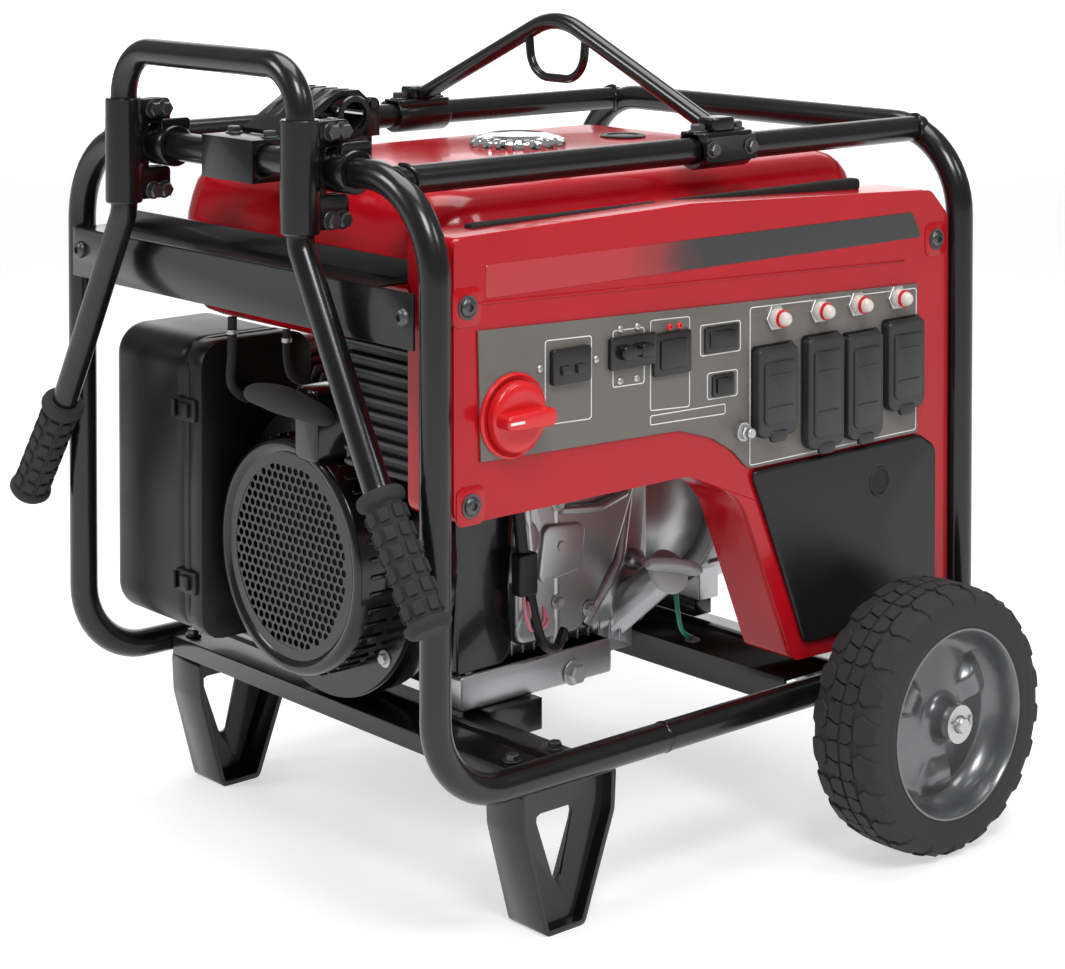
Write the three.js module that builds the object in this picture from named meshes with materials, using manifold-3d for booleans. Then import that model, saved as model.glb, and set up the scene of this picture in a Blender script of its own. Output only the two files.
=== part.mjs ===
// Portable generator on a tube frame: two-wheel trolley kit, folding handle, lifting bail,
// petrol engine with recoil starter, alternator, fuel tank and a control panel with sockets.
// Millimetres, +Z up, +X towards the wheels, -Y the panel side. Standing on the ground at z = 0.
import * as THREE from "three";
import { mergeVertices } from "three/addons/utils/BufferGeometryUtils.js";
import Module from "manifold-3d";

const wasm = await Module();
wasm.setup();

// ---- Driving dimensions ---------------------------------------------------------------------

const GAP = 0.3; // between pieces that touch
const FRAME_L = 678; // between the axes of the front and rear posts
const FRAME_W = 554; // between the axes of the left and right posts
const FRAME_TOP = 671.4; // axis of the top end rails
const TUBE_R = 13.6;
const TOP_BEND = 86;
const LOW_BEND = 72;
const SEAM_X = -74; // where the front and rear loops meet
const RAIL_R = 12.7; // top side rails
const RAIL_Y = 225.5;
const RAIL_Z = FRAME_TOP - 2.4;

const X_FRONT = -FRAME_L / 2;
const X_REAR = FRAME_L / 2;
const Y_POST = FRAME_W / 2;
const INNER_Y = Y_POST - TUBE_R - GAP;

const WHEEL_R = 127;
const WHEEL_W = 80;
const RIM_R = 88;
const AXLE_R = 7;
const FRAME_LOW = WHEEL_R + AXLE_R + TUBE_R + 0.4; // axis of the bottom rails, which rest on the axle
const RAIL_UNDER = FRAME_LOW - TUBE_R;
const AXLE_X = X_REAR - 134.5;
const AXLE_RUN = 0.5; // running clearance of the wheels on the axle
const WHEEL_GAP = 21; // from the bottom rail's outside to the tyre
const WHEEL_Y = Y_POST + TUBE_R + WHEEL_GAP + WHEEL_W / 2;

const FOOT_X = X_FRONT + 156;
const FOOT_TOP_W = 112;
const FOOT_LOW_W = 46;
const FOOT_DEPTH = 49;
const FOOT_WALL = 5;
const FOOT_OUT_Y = 272;

const GRIP_BAR_R = 12.5; // handle tube
const HANDLE_X = X_FRONT - 38;
const HANDLE_RISE = 91.6; // crossbar above the end rail
const SLEEVE_R = 17.5;
const SLEEVE_UP = 46;
const SLEEVE_DOWN = 53;
const KNUCKLE_HALF = 32;
const HANDLE_Y = Math.min(140, FRAME_W / 2 - TOP_BEND - KNUCKLE_HALF); // legs, on the straight of the rail
const TURN_RUN = 0.4; // running clearance of the knuckles on the end rail
const GRIP_R = 15.5;

const LATCH_HALF = 44;
const BAIL_X = 45;
const BAIL_R = 8.5;
const BAIL_TOP = FRAME_TOP + 115;

const TANK_L = 575;
const TANK_W = 432;
const TANK_X = X_FRONT + 336.5;
const TANK_Y = -6;
const TANK_LOW = FRAME_TOP - 176.4;
const TANK_H = 155;
const TANK_ROUND = 40;
const CAP_R = 50;
const CAP_X = TANK_X + 35.5;
const CAP_Y = TANK_Y + 53;

const CRANK_Z = FRAME_LOW + 147;
const HOUSING_X = X_FRONT + 94.3; // front edge of the fan housing
const HOUSING_R = 138;
const RECOIL_R = 110;
const RECOIL_DEPTH = 45;
const SHAFT_R = 15;
const SHAFT_RUN = 2;
const CASE_X = X_FRONT + 154;
const BELL_X = 165;
const ROTOR_R = 78;
const STATOR_R = 112;
const STATOR_END = X_REAR - 39;

const PANEL_Y = -(Y_POST - 1); // outer skin of the panel
const PANEL_DEPTH = 62;
const PANEL_WALL = 3;
const PANEL_LEFT = X_FRONT + 21;
const PANEL_RIGHT = X_REAR - 17;
const PANEL_TOP = FRAME_TOP - 44;
const PANEL_LOW = FRAME_LOW + 24;
const PLATE_T = 2;
const PLATE_Y = PANEL_Y - GAP; // back of the control plate
const FACE_Y = PLATE_Y - PLATE_T; // front of the control plate
const HOLE_RUN = 1; // round each button and rocker in the plate
const COVER_T = 11;

// ---- Finishes -------------------------------------------------------------------------------

const finish = (color, roughness, metalness) => ({ color, roughness, metalness });
const BLACK_PAINT = finish(0x17181a, 0.35, 0.1);
const RED_PAINT = finish(0xb5121f, 0.22, 0);
const BLACK_PLASTIC = finish(0x1b1c1e, 0.55, 0);
const GREY_PANEL = finish(0x6a6661, 0.5, 0);
const DARK_COVER = finish(0x2c2c2f, 0.6, 0);
const RUBBER = finish(0x1c1c1d, 0.8, 0);
const GREY_RIM = finish(0x5c5e61, 0.35, 0.6);
const CAST_ALLOY = finish(0xa9abad, 0.45, 0.8);
const STEEL = finish(0x9a9da0, 0.35, 1);
const CHROME = finish(0xd8dadc, 0.12, 1);
const RED_KNOB = finish(0xd0181c, 0.4, 0);
const CLEAR_BOOT = finish(0xc9c3bd, 0.3, 0);
const GREY_CAP = finish(0xa6a8aa, 0.5, 0);

// ---- Solids ---------------------------------------------------------------------------------

// A closed geometry as a solid, turned the right way out if its faces point inwards.
function solid(geometry) {
  const plain = geometry.index ? geometry.toNonIndexed() : geometry.clone();
  plain.deleteAttribute("normal");
  plain.deleteAttribute("uv");
  const merged = mergeVertices(plain, 1e-3);
  const triVerts = new Uint32Array(merged.index.array);
  const vertProperties = merged.attributes.position.array;
  const build = () => new wasm.Manifold(new wasm.Mesh({ numProp: 3, vertProperties, triVerts }));
  const made = build();
  if (made.volume() > 0) return made;
  for (let i = 0; i < triVerts.length; i += 3) {
    const second = triVerts[i + 1];
    triVerts[i + 1] = triVerts[i + 2];
    triVerts[i + 2] = second;
  }
  return build();
}

function toGeometry(body) {
  const { vertProperties, triVerts } = body.getMesh();
  const geometry = new THREE.BufferGeometry();
  geometry.setAttribute("position", new THREE.BufferAttribute(new Float32Array(vertProperties), 3));
  geometry.setIndex(new THREE.BufferAttribute(new Uint32Array(triVerts), 1));
  geometry.computeVertexNormals();
  return geometry;
}

const join = (...bodies) => bodies.reduce((a, b) => a.add(b));
const cut = (body, ...tools) => tools.reduce((a, b) => a.subtract(b), body);

// Local axes (across, up, along) laid on the part's axes, for a shape drawn flat and pushed along one.
const BASES = {
  x: [new THREE.Vector3(0, 1, 0), new THREE.Vector3(0, 0, 1), new THREE.Vector3(1, 0, 0)],
  y: [new THREE.Vector3(1, 0, 0), new THREE.Vector3(0, 0, 1), new THREE.Vector3(0, -1, 0)],
  z: [new THREE.Vector3(1, 0, 0), new THREE.Vector3(0, 1, 0), new THREE.Vector3(0, 0, 1)],
};

function laid(geometry, axis, from, to) {
  const start = axis === "y" ? to : from;
  geometry.applyMatrix4(new THREE.Matrix4().makeBasis(...BASES[axis]));
  return geometry.translate(...["x", "y", "z"].map((name) => (name === axis ? start : 0)));
}

function box(x0, x1, y0, y1, z0, z1) {
  const geometry = new THREE.BoxGeometry(x1 - x0, y1 - y0, z1 - z0);
  return solid(geometry.translate((x0 + x1) / 2, (y0 + y1) / 2, (z0 + z1) / 2));
}

// A flat outline of [a, b] or [a, b, round] corners: (Y, Z) for axis x, (X, Z) for y, (X, Y) for z.
function outline(corners, steps = 4) {
  const points = [];
  corners.forEach(([a, b, round = 0], i) => {
    const here = new THREE.Vector2(a, b);
    const before = corners[(i + corners.length - 1) % corners.length];
    const after = corners[(i + 1) % corners.length];
    const back = new THREE.Vector2(before[0], before[1]).sub(here).normalize();
    const ahead = new THREE.Vector2(after[0], after[1]).sub(here).normalize();
    if (!round) {
      points.push(here);
      return;
    }
    const half = Math.acos(THREE.MathUtils.clamp(back.dot(ahead), -1, 1)) / 2;
    const middle = back.clone().add(ahead).normalize().multiplyScalar(round / Math.sin(half)).add(here);
    const reach = round / Math.tan(half);
    const from = here.clone().addScaledVector(back, reach).sub(middle);
    const to = here.clone().addScaledVector(ahead, reach).sub(middle);
    const turn = Math.atan2(from.cross(to), from.dot(to));
    for (let k = 0; k <= steps; k++) {
      points.push(from.clone().rotateAround(new THREE.Vector2(), (turn * k) / steps).add(middle));
    }
  });
  return points;
}

// The outline moved inwards by a wall, each corner along its mitre.
function inset(points, wall) {
  const area = THREE.ShapeUtils.area(points);
  const side = area > 0 ? 1 : -1;
  return points.map((here, i) => {
    const before = points[(i + points.length - 1) % points.length];
    const after = points[(i + 1) % points.length];
    const arrive = here.clone().sub(before).normalize();
    const leave = after.clone().sub(here).normalize();
    const normal = new THREE.Vector2(-arrive.y - leave.y, arrive.x + leave.x).normalize();
    const share = Math.max(0.4, normal.dot(new THREE.Vector2(-arrive.y, arrive.x)));
    return here.clone().addScaledVector(normal, (side * wall) / share);
  });
}

function prism(points, axis, from, to, edge = 0, edgeSteps = 3) {
  const settings = { depth: to - from, bevelEnabled: false };
  if (edge) {
    Object.assign(settings, {
      depth: to - from - 2 * edge,
      bevelEnabled: true,
      bevelThickness: edge,
      bevelSize: edge,
      bevelOffset: -edge,
      bevelSegments: edgeSteps,
    });
  }
  const flat = points.map((p) => (p.isVector2 ? p : new THREE.Vector2(p[0], p[1])));
  const geometry = new THREE.ExtrudeGeometry(new THREE.Shape(flat), settings);
  return solid(laid(geometry.translate(0, 0, edge), axis, from, to));
}

// A profile of [along, radius] points turned about an axis through (a, b).
function turned(profile, axis, a, b, sides = 24) {
  const points = profile.map(([along, radius]) => new THREE.Vector2(radius, along));
  const geometry = new THREE.LatheGeometry(points, sides).rotateX(Math.PI / 2);
  const offset = { x: [0, a, b], y: [a, 0, b], z: [a, b, 0] }[axis];
  const sign = axis === "y" ? -1 : 1;
  const basis = BASES[axis].map((v) => v.clone());
  if (sign < 0) {
    basis[2].negate();
    basis[0].negate();
  }
  return solid(geometry.applyMatrix4(new THREE.Matrix4().makeBasis(...basis)).translate(...offset));
}

function bar(axis, radius, from, to, a, b, sides = 16) {
  return turned([[from, 0], [from, radius], [to, radius], [to, 0]], axis, a, b, sides);
}

// A bar for boring a hole whose flats, not its corners, stand at the radius.
const bore = (axis, radius, from, to, a, b, sides = 16) =>
  bar(axis, radius / Math.cos(Math.PI / sides), from, to, a, b, sides);

const ring = (axis, outer, inner, from, to, a, b, sides = 24) =>
  turned([[from, inner], [from, outer], [to, outer], [to, inner], [from, inner]], axis, a, b, sides);

// A run of stations, each a point and a direction, with rings only where the tube needs them.
class Route extends THREE.Curve {
  constructor(stations) {
    super();
    this.stations = stations;
  }

  station(u) {
    return this.stations[Math.round(u * (this.stations.length - 1))];
  }

  getPointAt(u, target = new THREE.Vector3()) {
    return target.copy(this.station(u).point);
  }

  getTangentAt(u, target = new THREE.Vector3()) {
    return target.copy(this.station(u).tangent);
  }
}

// Straight runs between corners, joined by arcs of the given radii.
function bend(corners, radii, steps = 6) {
  const points = corners.map((c) => new THREE.Vector3(...c));
  const heading = (a, b) => b.clone().sub(a).normalize();
  const stations = [{ point: points[0], tangent: heading(points[0], points[1]) }];
  for (let i = 1; i < points.length - 1; i++) {
    const before = heading(points[i - 1], points[i]);
    const after = heading(points[i], points[i + 1]);
    const turn = before.angleTo(after);
    const radius = radii[i - 1];
    const inward = after.clone().addScaledVector(before, -Math.cos(turn)).normalize();
    const start = points[i].clone().addScaledVector(before, -radius * Math.tan(turn / 2));
    for (let k = 0; k <= steps; k++) {
      const a = (turn * k) / steps;
      const point = start.clone().addScaledVector(before, radius * Math.sin(a));
      point.addScaledVector(inward, radius * (1 - Math.cos(a)));
      const tangent = before.clone().multiplyScalar(Math.cos(a)).addScaledVector(inward, Math.sin(a));
      stations.push({ point, tangent });
    }
  }
  const last = points.length - 1;
  stations.push({ point: points[last], tangent: heading(points[last - 1], points[last]) });
  return stations;
}

function tube(stations, radius, sides = 12) {
  const round = Array.from({ length: sides }, (_, i) => {
    const angle = (2 * Math.PI * i) / sides;
    return new THREE.Vector2(radius * Math.cos(angle), radius * Math.sin(angle));
  });
  const settings = { steps: stations.length - 1, bevelEnabled: false, extrudePath: new Route(stations) };
  return solid(new THREE.ExtrudeGeometry(new THREE.Shape(round), settings));
}

// ---- The assembly ---------------------------------------------------------------------------

const generator = new THREE.Group();

function part(name, body, look) {
  const mesh = new THREE.Mesh(toGeometry(body), new THREE.MeshStandardMaterial(look));
  mesh.name = name;
  generator.add(mesh);
  return mesh;
}

const SIDES = [["panel_side", -1], ["back_side", 1]];

// ---- Tube frame -----------------------------------------------------------------------------

function loopRoute(x, seam) {
  const corners = [
    [seam, -Y_POST, FRAME_LOW],
    [x, -Y_POST, FRAME_LOW],
    [x, -Y_POST, FRAME_TOP],
    [x, Y_POST, FRAME_TOP],
    [x, Y_POST, FRAME_LOW],
    [seam, Y_POST, FRAME_LOW],
  ];
  return bend(corners, [LOW_BEND, TOP_BEND, TOP_BEND, LOW_BEND]);
}

function addFrame() {
  const front = loopRoute(X_FRONT, SEAM_X - GAP / 2);
  const rear = loopRoute(X_REAR, SEAM_X + GAP / 2);
  part("frame_front_loop", tube(front, TUBE_R), BLACK_PAINT);
  part("frame_rear_loop", tube(rear, TUBE_R), BLACK_PAINT);
  const clearance = [front, rear].map((route) => tube(route, TUBE_R + GAP));
  for (const [side, sign] of SIDES) {
    const rail = bar("x", RAIL_R, X_FRONT, X_REAR, sign * RAIL_Y, RAIL_Z, 12);
    part("top_rail_" + side, cut(rail, ...clearance), BLACK_PAINT);
  }
}

// A pressed channel across the frame, between the bottom rails, with a raised rib along its top.
function channel(x0, x1, top, wall = 3) {
  const low = RAIL_UNDER + GAP;
  const skin = [
    [x0, low],
    [x0 + wall, low],
    [x0 + wall, top - wall],
    [x1 - wall, top - wall],
    [x1 - wall, low],
    [x1, low],
    [x1, top],
    [x1 - 24, top],
    [x1 - 27, top + 3],
    [x1 - 36, top + 3],
    [x1 - 39, top],
    [x0, top],
  ];
  return prism(skin, "y", -INNER_Y, INNER_Y);
}

function addCrossmembers() {
  part("front_crossmember", channel(FOOT_X - 61, FOOT_X + 18, FRAME_LOW + 5), BLACK_PAINT);
  let rear = channel(AXLE_X - 104, AXLE_X - 4, FRAME_LOW + TUBE_R);
  for (const [, sign] of SIDES) {
    const y = sign * (INNER_Y - 14);
    const lug = box(AXLE_X - 18, AXLE_X + 13, y - 4, y + 4, WHEEL_R - 15, FRAME_LOW);
    rear = join(rear, lug);
  }
  const hole = bore("y", AXLE_R + GAP, -Y_POST, Y_POST, AXLE_X, WHEEL_R);
  part("rear_crossmember", cut(rear, hole), BLACK_PAINT);
}

function footOutline() {
  return outline([
    [FOOT_X - FOOT_TOP_W / 2, RAIL_UNDER - GAP, 6],
    [FOOT_X - FOOT_TOP_W / 2 + 2, RAIL_UNDER - 40, 30],
    [FOOT_X - FOOT_LOW_W / 2 - 5, 0, 7],
    [FOOT_X + FOOT_LOW_W / 2 - 5, 0, 7],
    [FOOT_X + FOOT_TOP_W / 2 - 2, RAIL_UNDER - 40, 30],
    [FOOT_X + FOOT_TOP_W / 2, RAIL_UNDER - GAP, 6],
  ], 3);
}

function addFeet() {
  const skin = footOutline();
  const window = outline([
    [FOOT_X - 31, RAIL_UNDER - 29, 5],
    [FOOT_X - 9, 44, 3],
    [FOOT_X, 44, 3],
    [FOOT_X + 15, RAIL_UNDER - 29, 5],
  ], 2);
  for (const [side, sign] of SIDES) {
    const [near, far] = [FOOT_OUT_Y - FOOT_DEPTH, FOOT_OUT_Y];
    const span = (a, b) => (sign > 0 ? [a, b] : [-b, -a]);
    const body = prism(skin, "y", ...span(near, far));
    const outer = prism(inset(skin, FOOT_WALL), "y", ...span(far - 12, far + 1));
    const inner = prism(inset(skin, FOOT_WALL), "y", ...span(near - 1, far - 16));
    const through = prism(window, "y", ...span(near - 1, far + 1));
    part("foot_" + side, cut(body, outer, inner, through), BLACK_PAINT);
  }
}

function addTankGuard() {
  const face = X_FRONT - TUBE_R - GAP;
  const top = FRAME_TOP - 91.4;
  const reach = Y_POST - 9;
  const plate = box(face - 2.4, face, -reach, reach, top - 48, top);
  const near = PANEL_Y + PANEL_DEPTH + GAP;
  const tray = box(face - 2.4, face + 43, near, INNER_Y, top - 2.4, top);
  const lip = box(face + 40.6, face + 43, near, INNER_Y, top - 2.4, top + 17);
  part("tank_guard", join(plate, tray, lip), BLACK_PAINT);
}

// ---- Wheels ---------------------------------------------------------------------------------

function addWheels() {
  const half = WHEEL_W / 2;
  part("axle", bar("y", AXLE_R, -WHEEL_Y - half - 4, WHEEL_Y + half + 4, AXLE_X, WHEEL_R), STEEL);
  const seat = RIM_R + GAP;
  const tread = [
    [-half + 2, seat],
    [-half, seat + 14],
    [-half + 4, WHEEL_R - 8],
    [-half + 12, WHEEL_R - 1],
    [-half + 22, WHEEL_R],
    [half - 22, WHEEL_R],
    [half - 12, WHEEL_R - 1],
    [half - 4, WHEEL_R - 8],
    [half, seat + 14],
    [half - 2, seat],
    [-half + 2, seat],
  ];
  const sides = 28;
  const hole = (AXLE_R + AXLE_RUN) / Math.cos(Math.PI / sides);
  const disc = [
    [-half + 2, RIM_R - 3],
    [-half + 2, RIM_R],
    [half - 2, RIM_R],
    [half - 2, RIM_R - 3],
    [half - 24, RIM_R - 7],
    [half - 36, 56],
    [half - 30, 24],
    [half - 8, 18],
    [half - 8, hole],
    [-half, hole],
    [-half, 18],
    [half - 42, 24],
    [half - 42, 56],
    [half - 30, RIM_R - 7],
    [-half + 2, RIM_R - 3],
  ];
  for (const [side, sign] of SIDES) {
    const placed = (profile) => profile.map(([along, r]) => [sign * (WHEEL_Y + along), r]);
    part("tyre_" + side, turned(placed(tread), "y", AXLE_X, WHEEL_R, sides), RUBBER);
    part("rim_" + side, turned(placed(disc), "y", AXLE_X, WHEEL_R, sides), GREY_RIM);
  }
}

// ---- Folding handle, latch and lifting bail -----------------------------------------------------

const KNEE_Z = FRAME_TOP - 62;
const COLLAR = new THREE.Vector3(HANDLE_X, HANDLE_Y + 107, FRAME_TOP - 255.4);
const GRIP_END = new THREE.Vector3(HANDLE_X, COLLAR.y + 71, COLLAR.z - 105);

function addHandle() {
  const mirrored = (v) => [v.x, -v.y, v.z];
  const down = GRIP_END.clone().sub(COLLAR).normalize();
  const end = GRIP_END.clone().addScaledVector(down, -6 - GAP);
  const corners = [
    mirrored(end),
    mirrored(COLLAR),
    [HANDLE_X, -HANDLE_Y, KNEE_Z],
    [HANDLE_X, -HANDLE_Y, FRAME_TOP + HANDLE_RISE],
    [HANDLE_X, HANDLE_Y, FRAME_TOP + HANDLE_RISE],
    [HANDLE_X, HANDLE_Y, KNEE_Z],
    COLLAR.toArray(),
    end.toArray(),
  ];
  const route = bend(corners, [60, 32, 45, 45, 32, 60], 5);
  part("handle_tube", tube(route, GRIP_BAR_R), BLACK_PAINT);

  const length = GRIP_END.distanceTo(COLLAR) - 4;
  const inner = GRIP_BAR_R + GAP;
  const profile = [
    [0, inner],
    [0, GRIP_R + 4],
    [6, GRIP_R + 6],
    [10, GRIP_R + 6],
    [13, GRIP_R],
    [length - 12, GRIP_R],
    [length - 9, GRIP_R + 5],
    [length - 4, GRIP_R + 5],
    [length, GRIP_R + 1],
    [length, 0],
    [length - 6, 0],
    [length - 6, inner],
    [0, inner],
  ];
  const closed = [...profile.slice(9), ...profile.slice(1, 10)];
  const points = closed.map(([along, radius]) => new THREE.Vector2(radius, along));
  for (const [side, sign] of SIDES) {
    const axis = new THREE.Vector3(down.x, sign * down.y, down.z);
    const start = GRIP_END.clone().addScaledVector(down, -length);
    const turn = new THREE.Quaternion().setFromUnitVectors(new THREE.Vector3(0, 1, 0), axis);
    const geometry = new THREE.LatheGeometry(points, 18);
    const grip = part("grip_" + side, solid(geometry), RUBBER);
    grip.quaternion.copy(turn);
    grip.position.set(start.x, sign * start.y, start.z);
  }
}

function addSleeves() {
  const low = FRAME_TOP - SLEEVE_DOWN;
  const high = FRAME_TOP + SLEEVE_UP;
  for (const [side, sign] of SIDES) {
    const y = sign * HANDLE_Y;
    const sleeve = bar("z", SLEEVE_R, low, high, HANDLE_X, y);
    const web = box(HANDLE_X, X_FRONT + 9, y - 8, y + 8, low + 2, high - 2);
    const knuckle = bar("y", TUBE_R + 6, y - KNUCKLE_HALF, y + KNUCKLE_HALF, X_FRONT, FRAME_TOP);
    const body = cut(
      join(sleeve, web, knuckle),
      bore("z", GRIP_BAR_R + GAP, low - 1, high + 1, HANDLE_X, y),
      bore("y", TUBE_R + TURN_RUN, y - 60, y + 60, X_FRONT, FRAME_TOP),
    );
    part("handle_sleeve_" + side, body, BLACK_PAINT);
  }
}

const SADDLE_X = X_FRONT + 93.5;
const SADDLE_Z = FRAME_TOP + 33.6;
const PIN_X = SADDLE_X + 23;
const PIN_Z = SADDLE_Z + 9;

function addLatch() {
  const ear = LATCH_HALF - 7.6;
  const side = [
    [X_FRONT - 18, FRAME_TOP - 21],
    [X_FRONT + 21, FRAME_TOP - 21],
    [X_FRONT + 43, FRAME_TOP - 11],
    [PIN_X + 1, FRAME_TOP - 11],
    [PIN_X + 1, SADDLE_Z],
    [SADDLE_X - 22, SADDLE_Z - 2],
    [X_FRONT + 26, FRAME_TOP + 10],
    [X_FRONT + 18, FRAME_TOP + 18],
    [X_FRONT - 18, FRAME_TOP + 18],
  ];
  let base = prism(side, "y", -LATCH_HALF + 4, LATCH_HALF - 4);
  for (const [, sign] of SIDES) {
    const [a, b] = sign > 0 ? [ear, LATCH_HALF] : [-LATCH_HALF, -ear];
    const lug = box(PIN_X - 7, PIN_X + 7, a, b, SADDLE_Z - 20, PIN_Z);
    base = join(base, lug, bar("y", 7, a, b, PIN_X, PIN_Z));
  }
  base = cut(
    base,
    bore("y", GRIP_BAR_R + 1, -LATCH_HALF - 1, LATCH_HALF + 1, SADDLE_X, SADDLE_Z),
    bore("y", TUBE_R + GAP, -LATCH_HALF - 1, LATCH_HALF + 1, X_FRONT, FRAME_TOP),
  );
  part("latch_base", join(base, bar("y", 2.5, -ear - 1, ear + 1, PIN_X, PIN_Z, 10)), BLACK_PAINT);

  const width = ear - 0.6;
  const shell = prism([
    [PIN_X, PIN_Z + 5],
    [SADDLE_X + 12, SADDLE_Z + 23],
    [SADDLE_X - 8, SADDLE_Z + 23],
    [SADDLE_X - 24, SADDLE_Z + 17],
    [X_FRONT + 25, FRAME_TOP + 22],
    [X_FRONT + 24, FRAME_TOP + 18],
    [SADDLE_X - 22, SADDLE_Z + 9],
    [SADDLE_X - 14, SADDLE_Z + 2],
    [PIN_X, SADDLE_Z + 4],
  ], "y", -width, width);
  const barrel = bar("y", 6, -width, width, PIN_X, PIN_Z);
  const hood = cut(
    join(shell, barrel),
    bore("y", GRIP_BAR_R + 1.6, -LATCH_HALF, LATCH_HALF, SADDLE_X, SADDLE_Z),
    bore("y", 2.9, -LATCH_HALF, LATCH_HALF, PIN_X, PIN_Z, 10),
  );
  part("latch_hood", hood, BLACK_PAINT);
}

function addLiftingBail() {
  const foot = RAIL_Y - 11;
  const footZ = RAIL_Z + 22;
  const corners = [
    [BAIL_X, -foot, footZ],
    [BAIL_X, 0, BAIL_TOP],
    [BAIL_X, foot, footZ],
  ];
  let bail = tube(bend(corners, [80], 6), BAIL_R, 10);
  const slope = (BAIL_TOP - footZ) / foot;
  const hang = BAIL_TOP - 43 * slope;
  const eye = [
    [BAIL_X, -43, hang],
    [BAIL_X, -38, hang - 46],
    [BAIL_X, 38, hang - 46],
    [BAIL_X, 43, hang],
  ];
  bail = join(bail, tube(bend(eye, [28, 28], 5), 4.5, 8));
  for (const [, sign] of SIDES) {
    const y = sign * RAIL_Y;
    const collar = bar("x", RAIL_R + 6, BAIL_X - 36, BAIL_X + 36, y, RAIL_Z);
    const ears = [y - 16, y + 16];
    const pad = box(BAIL_X - 36, BAIL_X + 36, ...ears, RAIL_Z + 8, RAIL_Z + 25);
    bail = cut(join(bail, collar, pad), bore("x", RAIL_R + GAP, BAIL_X - 60, BAIL_X + 60, y, RAIL_Z, 12));
  }
  part("lifting_bail", bail, BLACK_PAINT);
}

// ---- Fuel tank and hoses --------------------------------------------------------------------

function addTank() {
  const [x0, x1] = [TANK_X - TANK_L / 2, TANK_X + TANK_L / 2];
  const [y0, y1] = [TANK_Y - TANK_W / 2, TANK_Y + TANK_W / 2];
  const plan = outline([[x0, y0, 55], [x1, y0, 55], [x1, y1, 55], [x0, y1, 55]], 5);
  const top = TANK_LOW + TANK_H;
  const seat = top - 7;
  const shell = cut(
    prism(plan, "z", TANK_LOW, top, TANK_ROUND, 4),
    bar("z", CAP_R + 14, seat, top + 1, CAP_X, CAP_Y, 28),
  );
  const neck = bar("z", CAP_R - 14, seat - 1, seat + 14, CAP_X, CAP_Y, 20);
  part("fuel_tank", join(shell, neck), RED_PAINT);

  const rim = CAP_R - 12;
  const cap = [
    [seat + GAP, rim],
    [seat + GAP, CAP_R],
    [seat + 16, CAP_R],
    [seat + 20, CAP_R - 6],
    [seat + 20, 0],
    [seat + 15, 0],
    [seat + 15, rim],
    [seat + GAP, rim],
  ];
  const closed = [...cap.slice(5, 7), ...cap.slice(0, 5)];
  part("fuel_cap", turned(closed, "z", CAP_X, CAP_Y, 32), CHROME);
}

function addVentHoses() {
  const x = TANK_X - TANK_L / 2 + 8;
  const top = TANK_LOW + 9;
  const back = bend([[x, 100, top], [x, 102, top - 66], [x + 26, 112, top - 84]], [16], 4);
  part("vent_hose_tank", tube(back, 4.5, 8), RUBBER);
  const centre = bend([[x, 12, top], [x, 12, top - 42], [x + 34, 20, top - 58]], [14], 4);
  part("vent_hose_carburettor", tube(centre, 3.5, 8), RUBBER);
}

// ---- Engine ---------------------------------------------------------------------------------

const CAP_AXIS = new THREE.Vector3(0, -0.8, 0.6);
const NECK_START = new THREE.Vector3(40, -95, CRANK_Z - 93);
const NECK_LENGTH = 84;

// Turns a shape made about +Z at the origin to point along the oil filler's axis.
function alongFiller(body, distance) {
  const geometry = toGeometry(body);
  const turn = new THREE.Quaternion().setFromUnitVectors(new THREE.Vector3(0, 0, 1), CAP_AXIS);
  const place = NECK_START.clone().addScaledVector(CAP_AXIS, distance);
  geometry.applyQuaternion(turn).translate(place.x, place.y, place.z);
  return solid(geometry);
}

function addCrankcase() {
  const low = FRAME_LOW + 10;
  const section = outline([
    [-108, low + 30, 12],
    [108, low + 30, 12],
    [108, CRANK_Z + 60, 30],
    [20, CRANK_Z + 92, 30],
    [-80, CRANK_Z + 82, 30],
    [-108, CRANK_Z + 40, 20],
  ], 3);
  const main = prism(section, "x", CASE_X, 66);
  const bell = turned([[60, 0], [60, 100], [90, 104], [BELL_X, 92], [BELL_X, 0]], "x", 0, CRANK_Z, 20);
  const feet = SIDES.map(([, sign]) => {
    const y = sign * 112;
    return box(CASE_X - 1, 0, y - 14, y + 14, low - 1, low + 32);
  });
  const sump = box(CASE_X + 10, 55, -100, 100, low + 8, low + 40);
  const neckProfile = [[-20, 0], [-20, 21], [NECK_LENGTH, 17], [NECK_LENGTH, 0]];
  const neck = alongFiller(turned(neckProfile, "z", 0, 0, 16), 0);
  const hole = bore("x", SHAFT_R + SHAFT_RUN, CASE_X - 5, BELL_X + 5, 0, CRANK_Z, 20);
  part("crankcase", cut(join(main, bell, ...feet, sump, neck), hole), CAST_ALLOY);

  const skirt = bar("z", 22, 0, 9, 0, 0, 20);
  const wing = box(-31, 31, -5, 5, 8, 26);
  part("oil_filler_cap", alongFiller(join(skirt, wing), NECK_LENGTH + GAP), GREY_CAP);
}

// The cylinder and head lean back from the crankcase, with square cooling fins.
function addCylinderHead() {
  const lean = THREE.MathUtils.degToRad(28);
  const [x0, x1] = [CASE_X + 22, 20];
  const core = box(x0 + 12, x1 - 12, 112, 232, -52, 52);
  let fins = core;
  for (let y = 124; y < 212; y += 13) fins = join(fins, box(x0, x1, y, y + 5, -66, 66));
  const cover = box(x0 + 6, x1 - 6, 226, 246, -56, 56);
  const geometry = toGeometry(join(fins, cover)).rotateX(lean).translate(0, 0, CRANK_Z);
  const space = box(x0 - 5, x1 + 5, -120, 108 + GAP, 0, FRAME_TOP);
  part("cylinder_head", cut(solid(geometry), space), CAST_ALLOY);
}

const AIR = { x0: X_FRONT + 34, x1: X_FRONT + 164, z0: 190, z1: 478 };

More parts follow.
